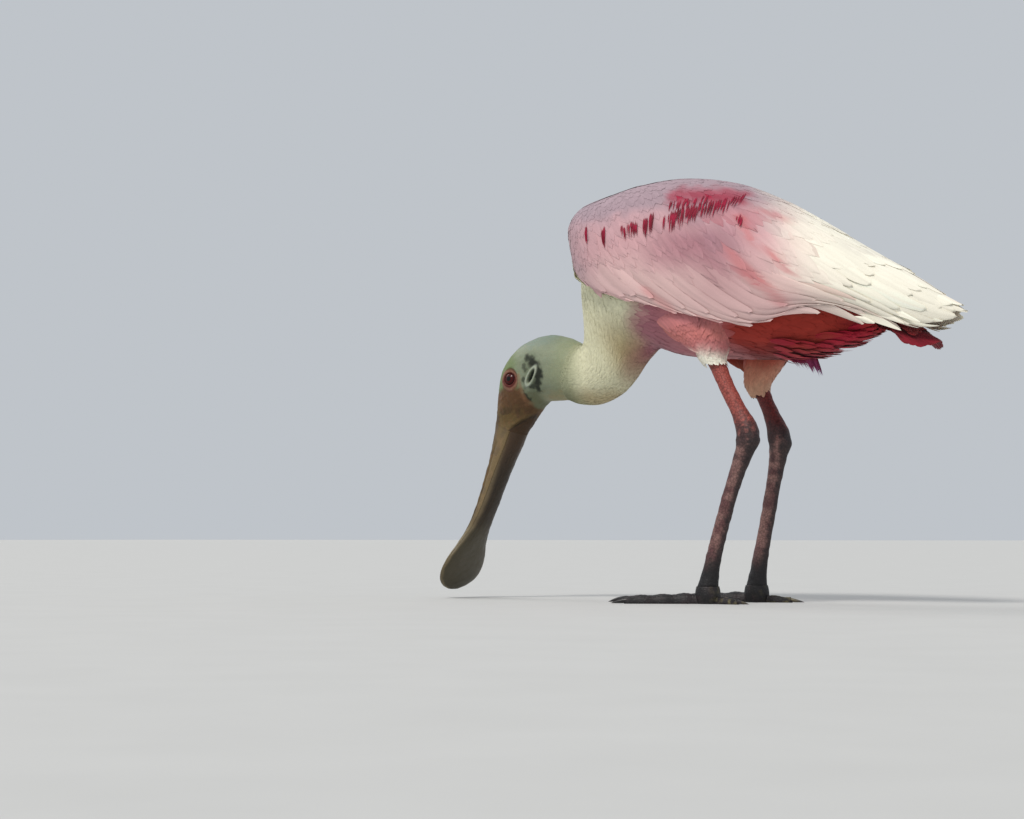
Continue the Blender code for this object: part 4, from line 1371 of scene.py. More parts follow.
@dataclass
class Bill:
    """The two halves of the bill, with a nail at the tip, side grooves, cross ridges and nostrils."""

    rows: int = 220
    arc: int = 72
    gap: float = 0.3

    def half(self, name: str, upper: bool, finish: bpy.types.Material) -> bpy.types.Object:
        """One half. A ring is an ellipse of growing squareness, cut flat along the mouth line."""
        place = np.linspace(0, len(BILL_SLICES) - 1.0, self.rows)
        row = catmull(BILL_SLICES, place)
        back = np.stack([row[:, 0], 0 * place, row[:, 1]], -1)
        belly = np.stack([row[:, 2], 0 * place, row[:, 3]], -1)
        middle, up = (back + belly) / 2, (back - belly) / 2
        size = np.linalg.norm(up, axis=-1)
        edge = 1 - 2 * row[:, 5] + (self.gap / 2 / size) * (1 if upper else -1)
        power = (2.0 + 0.5 * np.clip(place / 6, 0, 1))[:, None]
        reach = np.arccos(np.clip(edge if upper else -edge, -1, 1))
        t = np.linspace(-1, 1, self.arc)
        angle = reach[:, None] * t
        c = np.cos(angle) * (1 if upper else -1)
        y = np.clip(1 - np.abs(c) ** power, 0, 1) ** (1 / power) * np.sign(angle)
        arc = middle[:, None] + up[:, None] * c[..., None]
        arc[..., 1] = row[:, 4][:, None] * y
        normal = arc - middle[:, None]
        normal /= np.linalg.norm(normal, axis=-1, keepdims=True) + 1e-9
        lift = self.relief(place[:, None] + 0 * t, t + 0 * place[:, None], arc, upper)
        arc = arc + normal * (lift * np.clip(1.0 - np.abs(t) ** 12, 0, 1))[..., None]
        flat_t = np.linspace(1, -1, 26)[1:-1]
        ends = arc[:, -1], arc[:, 0]
        flat = ends[0][:, None] * ((1 + flat_t) / 2)[:, None] + ends[1][:, None] * ((1 - flat_t) / 2)[:, None]
        rings = np.concatenate([arc, flat], 1)
        rings[0] += np.array((-0.12, 0.0, -0.26))
        points, faces = capped_tube(rings)
        made = outward(mesh_object(name, points, faces, bill_paint(points, float(upper))))
        made.data.materials.append(finish)
        return made

    def relief(self, place: Array, t: Array, points: Array, upper: bool) -> Array:
        """Grooves, ridges and bumps of a half, in millimetres outward."""
        rough = 0.16 * cloud(points, 2.4, 31) + 0.22 * cloud(points, 6.0, 32)
        if not upper:
            groove = -0.45 * hill(np.abs(t), 0.45, 0.07) * ramp(place, 0.2, 1.2) * ramp(place, 9, 6)
            return rough * ramp(place, 0.25, 1.0) + groove
        groove = -0.7 * hill(np.abs(t), 0.62, 0.06) * ramp(place, 0.8, 1.6)
        wave = np.sin(place * 7.5 + 1.2 * cloud(points, 7.0, 33))
        ridge = 0.14 * wave * ramp(np.abs(t), 0.6, 0.35) * ramp(place, 6.5, 1.5) * ramp(place, 0.3, 0.9)
        nostril = np.hypot((place - 0.72) / 0.34, (np.abs(t) - 0.33) / 0.055)
        nail = 0.8 * ramp(place, 11.0, 11.9) * hill(t, 0.0, 0.35)
        rough = rough * ramp(place, 0.25, 1.0)
        return rough + groove + ridge + nail - 1.3 * ramp(nostril, 1.1, 0.5) + 0.3 * hill(nostril, 1.7, 0.4)


@dataclass
class Leg:
    """One leg: the bare shank and tarsus, the toes with their pads and webs, and the claws."""

    side: Side
    rows: int = 150
    around: int = 40

    def path(self, place: Array, trim: float = 0.0) -> Array:
        """Rings at places down the leg: an ellipse square to the leg's run."""
        place = np.asarray(place, float)
        row = catmull(LEG_SLICES, place)
        last = len(LEG_SLICES) - 1
        weight = np.exp(-(((place - ANKLE) / 3.2) ** 2))
        ahead, behind = catmull(LEG_SLICES, place + 0.1), catmull(LEG_SLICES, place - 0.1)
        run = np.stack([ahead[:, 0] - behind[:, 0], 0 * place, ahead[:, 1] - behind[:, 1]], -1)
        run /= np.linalg.norm(run, axis=-1, keepdims=True)
        run = mix(run, np.array((0.0, 0.0, -1.0)), ramp(place, last - 2.0, last - 0.6))
        run /= np.linalg.norm(run, axis=-1, keepdims=True)
        level = np.stack([-run[:, 2], 0 * place, run[:, 0]], -1)
        x = row[:, 0] + self.side.lean * weight + self.side.foot * np.clip(place / 12, 0, 1)
        centre = np.stack([x, 0 * x + self.side.sign * LEG_Y, row[:, 1]], -1) + run * trim
        a = np.arange(self.around) * 2 * np.pi / self.around
        fore = level[:, None] * (row[:, 2][:, None] * np.cos(a))[..., None]
        wide = np.zeros((len(place), self.around, 3))
        wide[..., 1] = row[:, 3][:, None] * np.sin(a)
        return centre[:, None] + fore + wide

    def shaft(self, name: str, start: float, end: float, finish: bpy.types.Material) -> bpy.types.Object:
        """A length of the leg with knobs, scutes down its front and fine swellings."""
        place = np.linspace(start, end, self.rows)
        rings = self.path(place)
        centre = rings.mean(1, keepdims=True)
        out = rings - centre
        out /= np.linalg.norm(out, axis=-1, keepdims=True)
        a = np.arange(self.around) * 2 * np.pi / self.around
        front = hill(np.abs(np.angle(np.exp(1j * (a - np.pi)))), 0.0, 0.9)
        scute = np.abs(np.sin(place * 5.2))[:, None] ** 0.5 * front
        tendon = hill(np.abs(np.angle(np.exp(1j * a))), 0.0, 0.5) * ramp(place, 5.2, 6.4)[:, None]
        lift = 0.28 * scute * ramp(place, 5.5, 6.5)[:, None] + 0.5 * tendon + 0.3 * cloud(rings, 4.0, 41)
        knob = hill(place, ANKLE + 0.35, 0.7)[:, None]
        pulley = 0.7 * np.cos(2 * a) ** 2 * hill(place, ANKLE + 0.6, 0.3)[:, None]
        lift = lift + knob * (0.9 * cloud(rings, 5.5, 42) + pulley)
        points, faces = capped_tube(rings + out * lift[..., None])
        made = outward(mesh_object(name, points, faces, self.paint(points)))
        made.data.materials.append(finish)
        return made

    def paint(self, points: Array) -> Array:
        """Red shank, darker on the far leg as painted shade, dark ankle, pale mottled tarsus with a back
        darkened by painted shade, black foot.
        """
        x, y, z = points[:, 0], points[:, 1], points[:, 2]
        patch, fine = cloud(points, 5.0, 43), cloud(points, 1.8, 44)
        # Painted shade: the right shank, the far one, is a much darker copy of the red, and the left is a
        # little darker too.
        shank = mix(Tone.LEG_RED, Tone.SHANK_DARK, (0.75 if self.side is Side.RIGHT else 0.1) + 0 * z)
        tarsus = mix(Tone.LEG_PALE, Tone.TARSUS_BROWN, ramp(patch, -0.5, 0.6))
        colour = mix(tarsus, shank, ramp(z, 118, 140))
        # Painted shade: the tarsus darkens towards its back, the side turned away from the light.
        middle = self.path(np.linspace(0.6, 12.0, 60)).mean(1)
        behind = x - np.interp(-z, -middle[:, 2], middle[:, 0])
        colour = mix(colour, Tone.LEG_DARK, 0.85 * ramp(behind + 1.2 * fine, 2.6, 5.4) * ramp(z, 140, 120))
        ankle = 0.8 * hill(z + 4 * patch, 127, 17) * ramp(fine + patch, -1.1, -0.1)
        colour = mix(colour, Tone.LEG_DARK, ankle)
        colour = mix(colour, Tone.LEG_DARK, 0.45 * ramp(fine, 0.35, 0.8))
        return mix(colour, Tone.FOOT_BLACK, ramp(z + 4 * patch, 46, 22))

    def middle(self) -> Array:
        """The point on the floor under the foot's middle."""
        return np.array((LEG_SLICES[-1][0] + self.side.foot, self.side.sign * LEG_Y, 0.0))

    def heading(self, angle: float) -> tuple[Array, Array]:
        """A toe's run at an angle in degrees from straight ahead, and the level line square to it."""
        turn = math.radians(angle)
        run = np.array((-math.cos(turn), self.side.sign * math.sin(turn), 0.0))
        return run, np.array((-run[1], run[0], 0.0))

    def toe(self, angle: float, length: float, width: float, height: float, joints: int) -> Array:
        """A toe's rings, flat beneath and arched above, with a width that swells at each pad."""
        run, level = self.heading(angle)
        s = np.linspace(0, 1, 70)
        pads = 1 + 0.13 * np.cos(2 * np.pi * s * joints) - 0.03
        w, h = width * (1 - 0.38 * s) * pads, height * (1 - 0.42 * s) * (0.5 + 0.5 * pads)
        close = np.sqrt(np.clip(1 - ((s - 0.93) / 0.07).clip(0, 1) ** 2, 0.05, 1))
        w, h = w * close, h * close
        a = np.arange(28) * 2 * np.pi / 28
        side, rise = np.cos(a), np.maximum(np.sin(a), 0.0)
        side = np.sign(side) * np.abs(side) ** np.where(np.sin(a) < 0, 1.0, 0.8)
        scute = np.abs(np.sin(s * joints * 4.5 * np.pi))[:, None] ** 0.6
        scute = 0.25 * scute * ramp(np.sin(a), 0.5, 0.9)
        centre = self.middle() + run * (2.0 + (length - CLAW) * s)[:, None]
        rings = centre[:, None] + level * (w[:, None] / 2 * side)[..., None]
        rings[..., 2] = 0.1 + np.maximum(h[:, None] * rise * 0.96 + scute, 0) - 0.1 * (np.sin(a) < 0)
        return rings

    def claw(self, angle: float, length: float, width: float, height: float) -> Array:
        """A claw's rings: a curved cone from inside the toe's end down to the floor."""
        run, level = self.heading(angle)
        a = np.arange(28) * 2 * np.pi / 28
        c = np.linspace(0, 1, 24)
        w, h = width * 0.44 * (1 - c**1.6), height * 0.5 * (1 - c**1.8)
        spine = self.middle() + run * (2.0 + length - CLAW - 3.0 + 13.0 * c)[:, None]
        rings = spine[:, None] + level * (w[:, None] / 2 * np.cos(a))[..., None]
        rings[..., 2] = (0.4 + height * 0.26 * (1 - c**1.5))[:, None] + h[:, None] / 2 * np.sin(a)
        rings[..., 2] = np.maximum(rings[..., 2], 0.1)
        return rings

    def web(self, first: tuple[Array, float], second: tuple[Array, float]) -> Array:
        """A web between two toes, each given as its run and length, with an edge that sags inward."""
        s, t = np.meshgrid(np.linspace(0, 1, 26), np.linspace(0, 1, 26), indexing="ij")
        sag = 1 - 0.36 * np.sin(np.pi * t)
        reach = (first[1] * 0.54 * (1 - t) + second[1] * 0.50 * t) * sag * s
        way = first[0] * (1 - t)[..., None] + second[0] * t[..., None]
        over = self.middle() + way * reach[..., None]
        under = over.copy()
        wave = 0.3 * np.sin(t * 19 + 2 * s) * s
        over[..., 2], under[..., 2] = 2.4 + (0.9 - 0.3 * s) + wave, 1.2 + wave * 0.3
        return np.concatenate([over, under[:, ::-1]], 1)

    def sole(self) -> Array:
        """The rings of the ball of the foot, from the leg's end down to the floor."""
        x, y, _ = self.middle()
        down, a = np.meshgrid(np.linspace(0, 1, 20), np.arange(36) * 2 * np.pi / 36, indexing="ij")
        wide = 8.7 * (1 + 0.12 * np.sin(np.pi * down))
        return np.stack([x + wide * np.cos(a), y + wide * 0.95 * np.sin(a), 13.0 * (1 - down)], -1)

    def foot(
        self, name: str, finish: bpy.types.Material, horn: bpy.types.Material
    ) -> tuple[bpy.types.Object, bpy.types.Object]:
        """The foot, with its toes lying flat and their webs, and its claws as a piece of their own."""
        parts = [self.toe(*toe) for toe in TOES]
        claws = [self.claw(*toe[:4]) for toe in TOES]
        tips = [(self.heading(angle)[0], length - CLAW) for angle, length, *_ in TOES]
        parts += [self.web(tips[0], tips[1]), self.web(tips[1], tips[2]), self.sole()]
        skin = self.piece(name, parts, finish)
        return skin, self.piece("claws_" + self.side.letter, claws, horn)

    def piece(self, name: str, tubes: list[Array], finish: bpy.types.Material) -> bpy.types.Object:
        """One object of several tubes in the foot's colours."""
        points, faces = joined([capped_tube(rings) for rings in tubes])
        x, y, _ = self.middle()
        colour = mix(Tone.FOOT_BLACK, Tone.LEG_DARK, ramp(cloud(points, 4.0, 45), -0.2, 0.8))
        yellow = hill(np.hypot(points[:, 0] - x - 22, points[:, 1] - y), 0.0, 12.0)
        yellow = yellow * ramp(cloud(points, 3.0, 46), 0.0, 0.6)
        colour = mix(colour, Tone.SOLE_YELLOW, 0.5 * yellow)
        made = faced_out(mesh_object(name, points, faces, colour))
        made.data.materials.append(finish)
        return made


@dataclass
class BodyCoat:
    """The small feathers of the neck, breast, flanks, back and rump, and those of the thighs."""

    seed: int = 5

    def neck(self, name: str, bands: tuple, finish: bpy.types.Material) -> bpy.types.Object:
        """Short soft feathers on part of the neck.

        Args:
            name: the piece's name.
            bands: for each band its first and last place, rows, columns, feather length and half width.
            finish: the feathers' finish.

        Returns:
            The piece.
        """
        rng = np.random.default_rng(self.seed)
        flesh = Flesh()
        coat = Coat(name)
        for low, high, rows, columns, long, half in bands:
            a, b = scatter(rng, rows, columns, 0.48)
            place = low + (high - low) * (1 - a)
            u0, v0 = LAST_SLICE - place, b * 2 * np.pi
            along, _ = flesh.slopes(u0, v0)
            speed = np.maximum(np.linalg.norm(along, axis=-1), 5.0)
            span = np.clip(long * rng.uniform(0.75, 1.2, len(a)) / speed, 0.08, 1.3)
            lift = (-1.1, -0.1)
            kind = Plumage("neck", flesh, body_paint, self.seed + rows, 4, 3, lift, 0.2, 0.15, 0.6, 0.45)
            kind.varied, kind.shaft_dark, kind.tip_light = 0.025, 0.0, 0.03
            drift = 0.04 * rng.normal(0, 1, len(a))
            coat.add(kind.build(u0, u0 + span, v0, half * rng.uniform(0.7, 1.3, len(a)), drift))
        return coat.make(finish)

    def body(self, finish: bpy.types.Material) -> bpy.types.Object:
        """Rounded feathers over the breast, belly, flanks, back and rump."""
        rng = np.random.default_rng(self.seed + 1)
        flesh = Flesh()
        a, b = scatter(rng, 50, 64, 0.45)
        place = 0.15 + 8.3 * (1 - a)
        u0, v0 = LAST_SLICE - place, b * 2 * np.pi
        along, _ = flesh.slopes(u0, v0)
        speed = np.linalg.norm(along, axis=-1)
        length = (22.0 + 6.0 * ramp(place, 6, 1)) * rng.uniform(0.8, 1.2, len(a))
        span = np.clip(length / np.maximum(speed, 8.0), 0.1, 1.4)
        kind = Plumage("body", flesh, body_paint, self.seed + 1, 5, 3, (-0.9, 0.0), 0.16, 0.2, 0.35, 0.5)
        half = (3.0 + 1.8 * rng.random(len(a))) * (0.6 + 0.4 * ramp(place, 0.0, 2.0))
        coat = Coat("body_feathers")
        coat.add(kind.build(u0, u0 + span, v0, half, 0.06 * rng.normal(0, 1, len(a))))
        # Loose dark feathers hanging along the rear belly.
        n = 150
        place = 0.35 + 2.1 * rng.random(n)
        v0 = np.pi + 0.75 * rng.uniform(-1, 1, n)
        along, _ = flesh.slopes(LAST_SLICE - place, v0)
        span = 26.0 * rng.uniform(0.6, 1.2, n) / np.linalg.norm(along, axis=-1)

        def crimson(points: Array) -> Array:
            """Crimson, browner in patches."""
            return mix(Tone.FRINGE_CRIMSON, Tone.FLANK_RED, ramp(cloud(points, 7.0, 55), -0.2, 0.7))

        loose = Plumage("loose", flesh, crimson, self.seed + 7, 6, 3, (-1.0, 4.5), 0.2, 0.2, 0.8, 0.5)
        u0 = LAST_SLICE - place
        coat.add(loose.build(u0, u0 + span, v0, 2.4 + 1.6 * rng.random(n), 0 * v0))
        return coat.make(finish)

    def collar(self, finish: bpy.types.Material) -> bpy.types.Object:
        """Feathers over the shoulders, from the neck back under the wings' front edges."""
        rng = np.random.default_rng(self.seed + 12)
        a, b = scatter(rng, 9, 74, 0.4)
        u0, v0 = 1.05 * a - 0.25, 3.2 * b - 1.6
        lift = (-0.4, 0.4)
        kind = Plumage("collar", Collar(), shoulder_paint, self.seed + 13, 5, 5, lift, 0.2, 0.2, 0.3, 0.5)
        _, across = kind.surface.slopes(u0 + 0.3, v0)
        half = 0.045 * np.linalg.norm(across, axis=-1) * rng.uniform(0.9, 1.3, len(a))
        kind.varied, kind.shaft_dark, kind.spread = 0.025, 0.02, 0.09
        end = np.minimum(u0 + 0.5 * rng.uniform(0.8, 1.2, len(a)), 0.97)
        return Coat("shoulder_feathers").add(
            kind.build(u0, end, v0, half, 0.03 * rng.normal(0, 1, len(a)), -0.8 * u0)
        ).make(finish)

    def thigh(self, side: Side, finish: bpy.types.Material) -> bpy.types.Object:
        """Loose feathers down the leg's top, ending in a soft hem, with a drape from the flank."""
        rng = np.random.default_rng(self.seed + 2)
        thigh = Thigh(side)
        a, b = scatter(rng, 20, 40, 0.45)
        u0, v0 = a * 3.6, b * 2 * np.pi
        kind = Plumage("thigh", thigh, thigh_paint, self.seed + 2, 5, 3, (-1.4, 0.5), 0.25, 0.3, 0.5, 0.5)
        along, _ = thigh.slopes(u0, v0)
        most = (4.15 if side is Side.LEFT else 4.9) + 0.2 * rng.normal(0, 1, len(a))
        span = np.minimum(17.0 * rng.uniform(0.8, 1.2, len(a)) / np.linalg.norm(along, axis=-1), most - u0)
        coat = Coat("thigh_feathers_" + side.letter)
        drift = 0.1 * rng.normal(0, 1, len(a))
        coat.add(kind.build(u0, u0 + np.maximum(span, 0.12), v0, 2.4 + 1.4 * rng.random(len(a)), drift))
        ahead, up, _ = side.thigh
        corners = ((-58.0, 41.0, 216.0), (-10.0, 49.0, 224.0), (-10.0, 40.0, 185.0), (4.0, 41.5, 184.0))
        patch = Patch(tuple((x + ahead + 5, y, z + up) for x, y, z in corners), 4.0, side)
        a, b = scatter(np.random.default_rng(self.seed + 3), 11, 12, 0.45)
        kind = Plumage("drape", patch, thigh_paint, self.seed + 4, 6, 5, (-1.5, 0.8), 0.25, 0.5, 0.3, 0.55)
        end = np.minimum(a * 0.78 + 0.42, 1.0 + 0.03 * rng.normal(0, 1, len(a)))
        coat.add(kind.build(a * 0.78, end, b * 0.9 + 0.05, 3.6 + 0 * a, 0.03 * rng.normal(0, 1, len(a))))
        return coat.make(finish)

    def wisps(self, finish: bpy.types.Material) -> bpy.types.Object:
        """A violet tuft under the belly, behind the legs."""

        def violet(points: Array) -> Array:
            """Crimson at the root, violet towards the tips."""
            z = points[..., 2]
            colour = mix(Tone.FLANK_DARK, Tone.TUFT_PURPLE, ramp(z + 3 * cloud(points, 4.0, 51), 186, 179))
            return mix(colour, Tone.TUFT_VIOLET, ramp(z + 3 * cloud(points, 3.0, 52), 178, 170))

        rng = np.random.default_rng(self.seed + 9)
        coat = Coat("violet_tuft")
        for side in Side:
            corners = ((44.0, 2.0, 188.0), (70.0, 2.0, 190.0), (60.0, 2.0, 174.5), (78.0, 2.0, 166.5))
            patch = Patch(corners, 1.0, side)
            n = 46
            v0 = rng.random(n)
            end = 0.45 + 0.3 * v0 + 0.25 * rng.random(n) ** 2
            kind = Plumage("wisp", patch, violet, self.seed + 10, 6, 3, (0.0, 0.6), 0.25, 0.1, 0.95, 0.35)
            half, drift = 0.7 + 0.5 * rng.random(n), 0.06 * rng.normal(0, 1, n)
            coat.add(kind.build(0 * v0, end, v0, half, drift, 2 * rng.random(n)))
        return coat.make(finish)


@dataclass
class WingCoat:
    """A folded wing's feathers: rows of coverts like tiles, long flight feathers and carmine plumes."""

    side: Side
    seed: int = 20
    sink: float = -2.6

    def coverts(self, finish: bpy.types.Material) -> bpy.types.Object:
        """Small, middle and greater coverts, each row's tips over the next row's roots."""
        rng = np.random.default_rng(self.seed + (self.side is Side.RIGHT))
        face = WingFace(self.side)
        coat = Coat("wing_coverts_" + self.side.letter)
        rows = 22
        for row in range(rows):
            s = row / (rows - 1)
            root = -0.01 + 0.32 * s**1.1
            tip = root + 0.12 + 0.28 * s
            count = int(46 - 24 * s)
            k = np.arange(count) + 0.5 * (row % 2)
            step = (LAST_STREAM + 0.35) / count
            v0 = -0.25 + (LAST_STREAM + 0.35) * k / (count - 0.5) + 0.15 * step * rng.normal(0, 1, count)
            u0 = np.maximum(root + 0.008 * rng.normal(0, 1, count), 0.0)
            u1 = tip + (0.02 + 0.02 * s) * rng.normal(0, 1, count)
            _, across = face.slopes(0 * v0 + (root + tip) / 2, v0)
            half = np.minimum(step * np.linalg.norm(across, axis=-1) * (0.92 + 0.14 * rng.random(count)), 9.5)
            lift = (-0.25, 0.0)
            kind = Plumage("covert", face, wing_paint, self.seed + row, 7, 7, lift, 0.1, 0.12, 0.25, 0.5)
            kind.tilt, kind.spread, kind.varied, kind.own = 0.04, 1.15 * step, 0.025, 0.3
            kind.shaft_dark, kind.tip_light = 0.03, 0.05
            base = self.sink - 0.07 * row + 0.08 * rng.random(count)
            coat.add(kind.build(u0, u1, v0, half, 0.05 * rng.normal(0, 1, count), base))
        return coat.make(finish)

    def flights(self, finish: bpy.types.Material) -> bpy.types.Object:
        """Scapulars and secondaries with round tips below, and long ones closing in shells at the rear."""
        rng = np.random.default_rng(self.seed + 40)
        coat = Coat("wing_flights_" + self.side.letter)
        # Count, first and last stream, root, tip, height, lift of the tip, share drawn in and point.
        layers = (
            (12, -0.1, 7.6, 0.26, 0.82, -1.2, 0.3, 1.0, 0.05),
            (12, -0.1, 7.6, 0.36, 0.96, -1.8, 0.5, 1.0, 0.05),
            (13, -0.1, 7.6, 0.44, 1.05, -2.4, 0.6, 1.0, 0.05),
            (10, 7.2, 11.1, 0.36, 0.78, -1.5, 0.2, 1.0, 0.3),
            (9, 7.2, 11.1, 0.42, 0.90, -2.1, 0.1, 1.0, 0.4),
            (8, 7.0, 11.1, 0.50, 1.0, -2.7, 0.0, 1.0, 0.5),
            (6, 7.4, 11.0, 0.66, 0.99, 1.6, 0.0, 0.72, 0.5),
            (5, 7.4, 11.0, 0.66, 0.97, 1.6, 0.0, 0.45, 0.5),
            (4, 7.4, 11.0, 0.66, 0.95, 1.6, 0.0, 0.2, 0.5),
        )
        for layer, (count, first, last, root, tip, base, end, draw, point) in enumerate(layers):
            face = WingFace(self.side, draw)
            step = (last - first) / (count - 0.5)
            v0 = first + step * (np.arange(count) + 0.5 * (layer % 2))
            _, across = face.slopes(0 * v0 + 0.85, v0)
            half = step * np.linalg.norm(across, axis=-1) * 0.74
            u1 = tip + 0.022 * rng.normal(0, 1, count)
            seed, lift = self.seed + 41 + layer, (-1.0, end)
            kind = Plumage("flight", face, wing_paint, seed, 20, 7, lift, 0.3, 0.3, point, 0.82)
            kind.ragged, kind.tilt, kind.barbed, kind.spread = 0.015, 0.35, 0.03, 0.95 * step
            height = self.sink + base + 0.1 * rng.random(count)
            coat.add(kind.build(0 * v0 + root, u1, v0, np.minimum(half, 12.0), 0.0 * v0, height))
        return coat.make(finish)

    @staticmethod
    def mantle(finish: bpy.types.Material) -> bpy.types.Object:
        """The back's feathers between the wings, over the roots of the coverts on both sides."""
        rng = np.random.default_rng(31)
        a, b = scatter(rng, 34, 13, 0.35)
        u0, v0 = 0.96 * a, 1.9 * b - 0.95
        kind = Plumage("mantle", Mantle(), wing_paint, 32, 6, 5, (-0.3, 0.0), 0.1, 0.12, 0.25, 0.5)
        kind.varied, kind.shaft_dark, kind.own, kind.spread = 0.025, 0.03, 0.3, 0.4
        along, across = kind.surface.slopes(u0, v0)
        span = 26.0 * rng.uniform(0.85, 1.2, len(a)) / np.linalg.norm(along, axis=-1)
        half = np.clip(0.16 * np.linalg.norm(across, axis=-1), 2.2, 6.5)
        drift = 0.1 * v0 + 0.02 * rng.normal(0, 1, len(a))
        coat = Coat("mantle_feathers")
        return coat.add(kind.build(u0, u0 + span, v0, half, drift, -1.9 - 1.2 * a)).make(finish)

    def strays(self, finish: bpy.types.Material) -> bpy.types.Object:
        """Pointed white feathers over the tail's side and one small pale one, clear of the wing's edge."""
        coat = Coat("stray_feathers_" + self.side.letter)
        large = ((116.0, 33.0, 216.0), (126.0, 30.0, 222.0), (153.0, 26.0, 197.5), (166.0, 22.0, 203.0))
        small = ((122.0, 37.0, 207.5), (122.0, 37.0, 209.5), (138.0, 33.0, 201.5), (138.0, 33.0, 203.5))
        for corners, v0, half in ((large, (0.0, 0.5, 1.0), 3.4), (small, (0.5,), 2.2)):
            patch = Patch(corners, 1.0, self.side)
            kind = Plumage("stray", patch, wing_paint, 90, 12, 5, (0.0, 0.3), 0.3, 0.3, 0.6, 0.5)
            v = np.array(v0)
            coat.add(kind.build(0 * v, 1 - 0.12 * (v == 0.5), v, half + 0 * v, 0 * v))
        return coat.make(finish)

    def nearest(self, x: Array, z: Array) -> tuple[Array, Array]:
        """The u and v of the points of the wing's outer face at these x and z."""
        face = WingFace(self.side)
        along, across = np.linspace(-0.02, 0.8, 300), np.linspace(-0.3, LAST_STREAM - 1, 300)
        u, v = np.meshgrid(along, across, indexing="ij")
        spots = face.at(u, v).reshape(-1, 3)
        found = [int(np.argmin((spots[:, 0] - a) ** 2 + (spots[:, 2] - b) ** 2)) for a, b in zip(x, z)]
        return u.ravel()[found], v.ravel()[found]

    def plumes(self, finish: bpy.types.Material) -> bpy.types.Object:
        """Narrow carmine plumes hanging in loose bunches, from the shoulder back and up."""
        rng = np.random.default_rng(self.seed + 60)

        def paint(points: Array) -> Array:
            """Carmine with deeper streaks."""
            return mix(Tone.CARMINE, Tone.DEEP_CARMINE, ramp(cloud(points, 3.0, 61), -0.4, 0.6))

        # Count, first x, last x, height of the roots at each end, length and half width.
        bunches = (
            (4, -101.0, -99.5, 290.0, 290.0, 13.0, 1.1),
            (6, -83.5, -80.5, 288.0, 288.0, 14.0, 1.2),
            (20, -67.0, -50.0, 287.0, 290.0, 10.0, 0.6),
            (13, -46.0, -37.0, 293.0, 297.0, 15.0, 0.8),
            (24, -28.0, -11.0, 293.0, 300.0, 14.0, 0.65),
            (48, -12.0, 18.0, 299.0, 305.0, 12.0, 0.7),
            (20, -26.0, 4.0, 304.0, 308.0, 8.0, 0.7),
            (12, 12.0, 28.0, 303.0, 309.0, 11.0, 0.8),
            (5, 30.0, 37.0, 291.0, 288.0, 8.0, 0.8),
        )
        x, z, long, half = [], [], [], []
        for count, x0, x1, z0, z1, reach, wide in bunches:
            t = np.sort(rng.random(count))
            x.append(x0 + (x1 - x0) * t)
            z.append(z0 + (z1 - z0) * t + 2.2 * rng.uniform(-1, 1, count))
            long.append(reach * rng.uniform(0.55, 1.25, count))
            half.append(wide * rng.uniform(0.6, 1.3, count))
        x, z, long, half = (np.concatenate(a) for a in (x, z, long, half))
        u0, v0 = self.nearest(x, z)
        u1, v1 = self.nearest(x + 0.14 * long, z - long)
        face, lift = WingFace(self.side), (0.1, 0.5)
        kind = Plumage("plume", face, paint, self.seed + 62, 5, 3, lift, 0.25, 0.1, 0.85, 0.4)
        coat = Coat("carmine_plumes_" + self.side.letter)
        return coat.add(kind.build(u0, u1, v0, half, v1 - v0, self.sink - 0.2)).make(finish)


class Fan(Surface):
    """The tail's middle surface, bent down along its run and drooping a little to either side."""

    root, tip = np.array((122.0, 0.0, 217.0)), np.array((174.0, 0.0, 195.0))

    def at(self, u: Array, v: Array) -> Array:
        """Points at a share u of the length and v feather steps across."""
        u, v = np.broadcast_arrays(np.asarray(u, float), np.asarray(v, float))
        run = self.tip - self.root
        up = np.array((-run[2], 0.0, run[0])) / np.linalg.norm(run)
        step = 2.0 + 2.0 * u
        p = self.root + run * u[..., None] - up * (4 * u * u + 0.5 * np.abs(v * step) * u)[..., None]
        p[..., 1] = v * step
        return p


@dataclass
class Tail:
    """Twelve tail feathers in a fan, with red coverts above and below."""

    count: int = 12

    def make(self, finish: bpy.types.Material) -> bpy.types.Object:
        """The fan and its coverts as one piece."""
        rng = np.random.default_rng(77)
        place = np.arange(self.count) - (self.count - 1) / 2

        def red(points: Array) -> Array:
            """Deep crimson with paler rims, browner near the root."""
            colour = mix(Tone.TAIL_RED, Tone.TAIL_DARK, ramp(cloud(points, 6.0, 71), -0.3, 0.6))
            colour = mix(colour, Tone.TAIL_TIP, 0.5 * ramp(points[..., 0], 166, 176))
            return mix(colour, Tone.FLANK_RED, 0.6 * ramp(points[..., 0], 150, 128))

        kind = Plumage("rectrix", Fan(), red, 78, 18, 7, (0.0, 0.0), 0.5, 0.3, 0.0, 0.86)
        kind.ragged = 0.01
        coat = Coat("tail_feathers")
        end = 1 - 0.007 * place**2 + 0.006 * rng.normal(0, 1, len(place))
        coat.add(kind.build(0 * place, end, place, 8.2 + 0 * place, 0 * place, -0.3 * np.abs(place)))
        for seed, rows, high, above in ((80, 7, 0.42, 1.0), (81, 8, 0.5, -1.0)):
            a, b = scatter(np.random.default_rng(seed), rows, 14, 0.4)
            u0 = -0.12 + (high + 0.12) * a
            v0 = (b - 0.5) * 10
            lift = (-0.3 * above, 0.3 * above)
            kind = Plumage("covert", Fan(), body_paint, seed, 6, 5, lift, 0.25, 0.3, 0.1, 0.6)
            near = np.clip(u0, 0, 0.5)
            tall = 4.5 - 8.0 * near if above > 0 else above * (7.5 - 13.0 * near)
            coat.add(kind.build(u0, np.minimum(u0 + 0.36, 0.86), v0, 4.6 + 0 * u0, 0 * u0, tall))
        return coat.make(finish)


# The studio and the order of work.


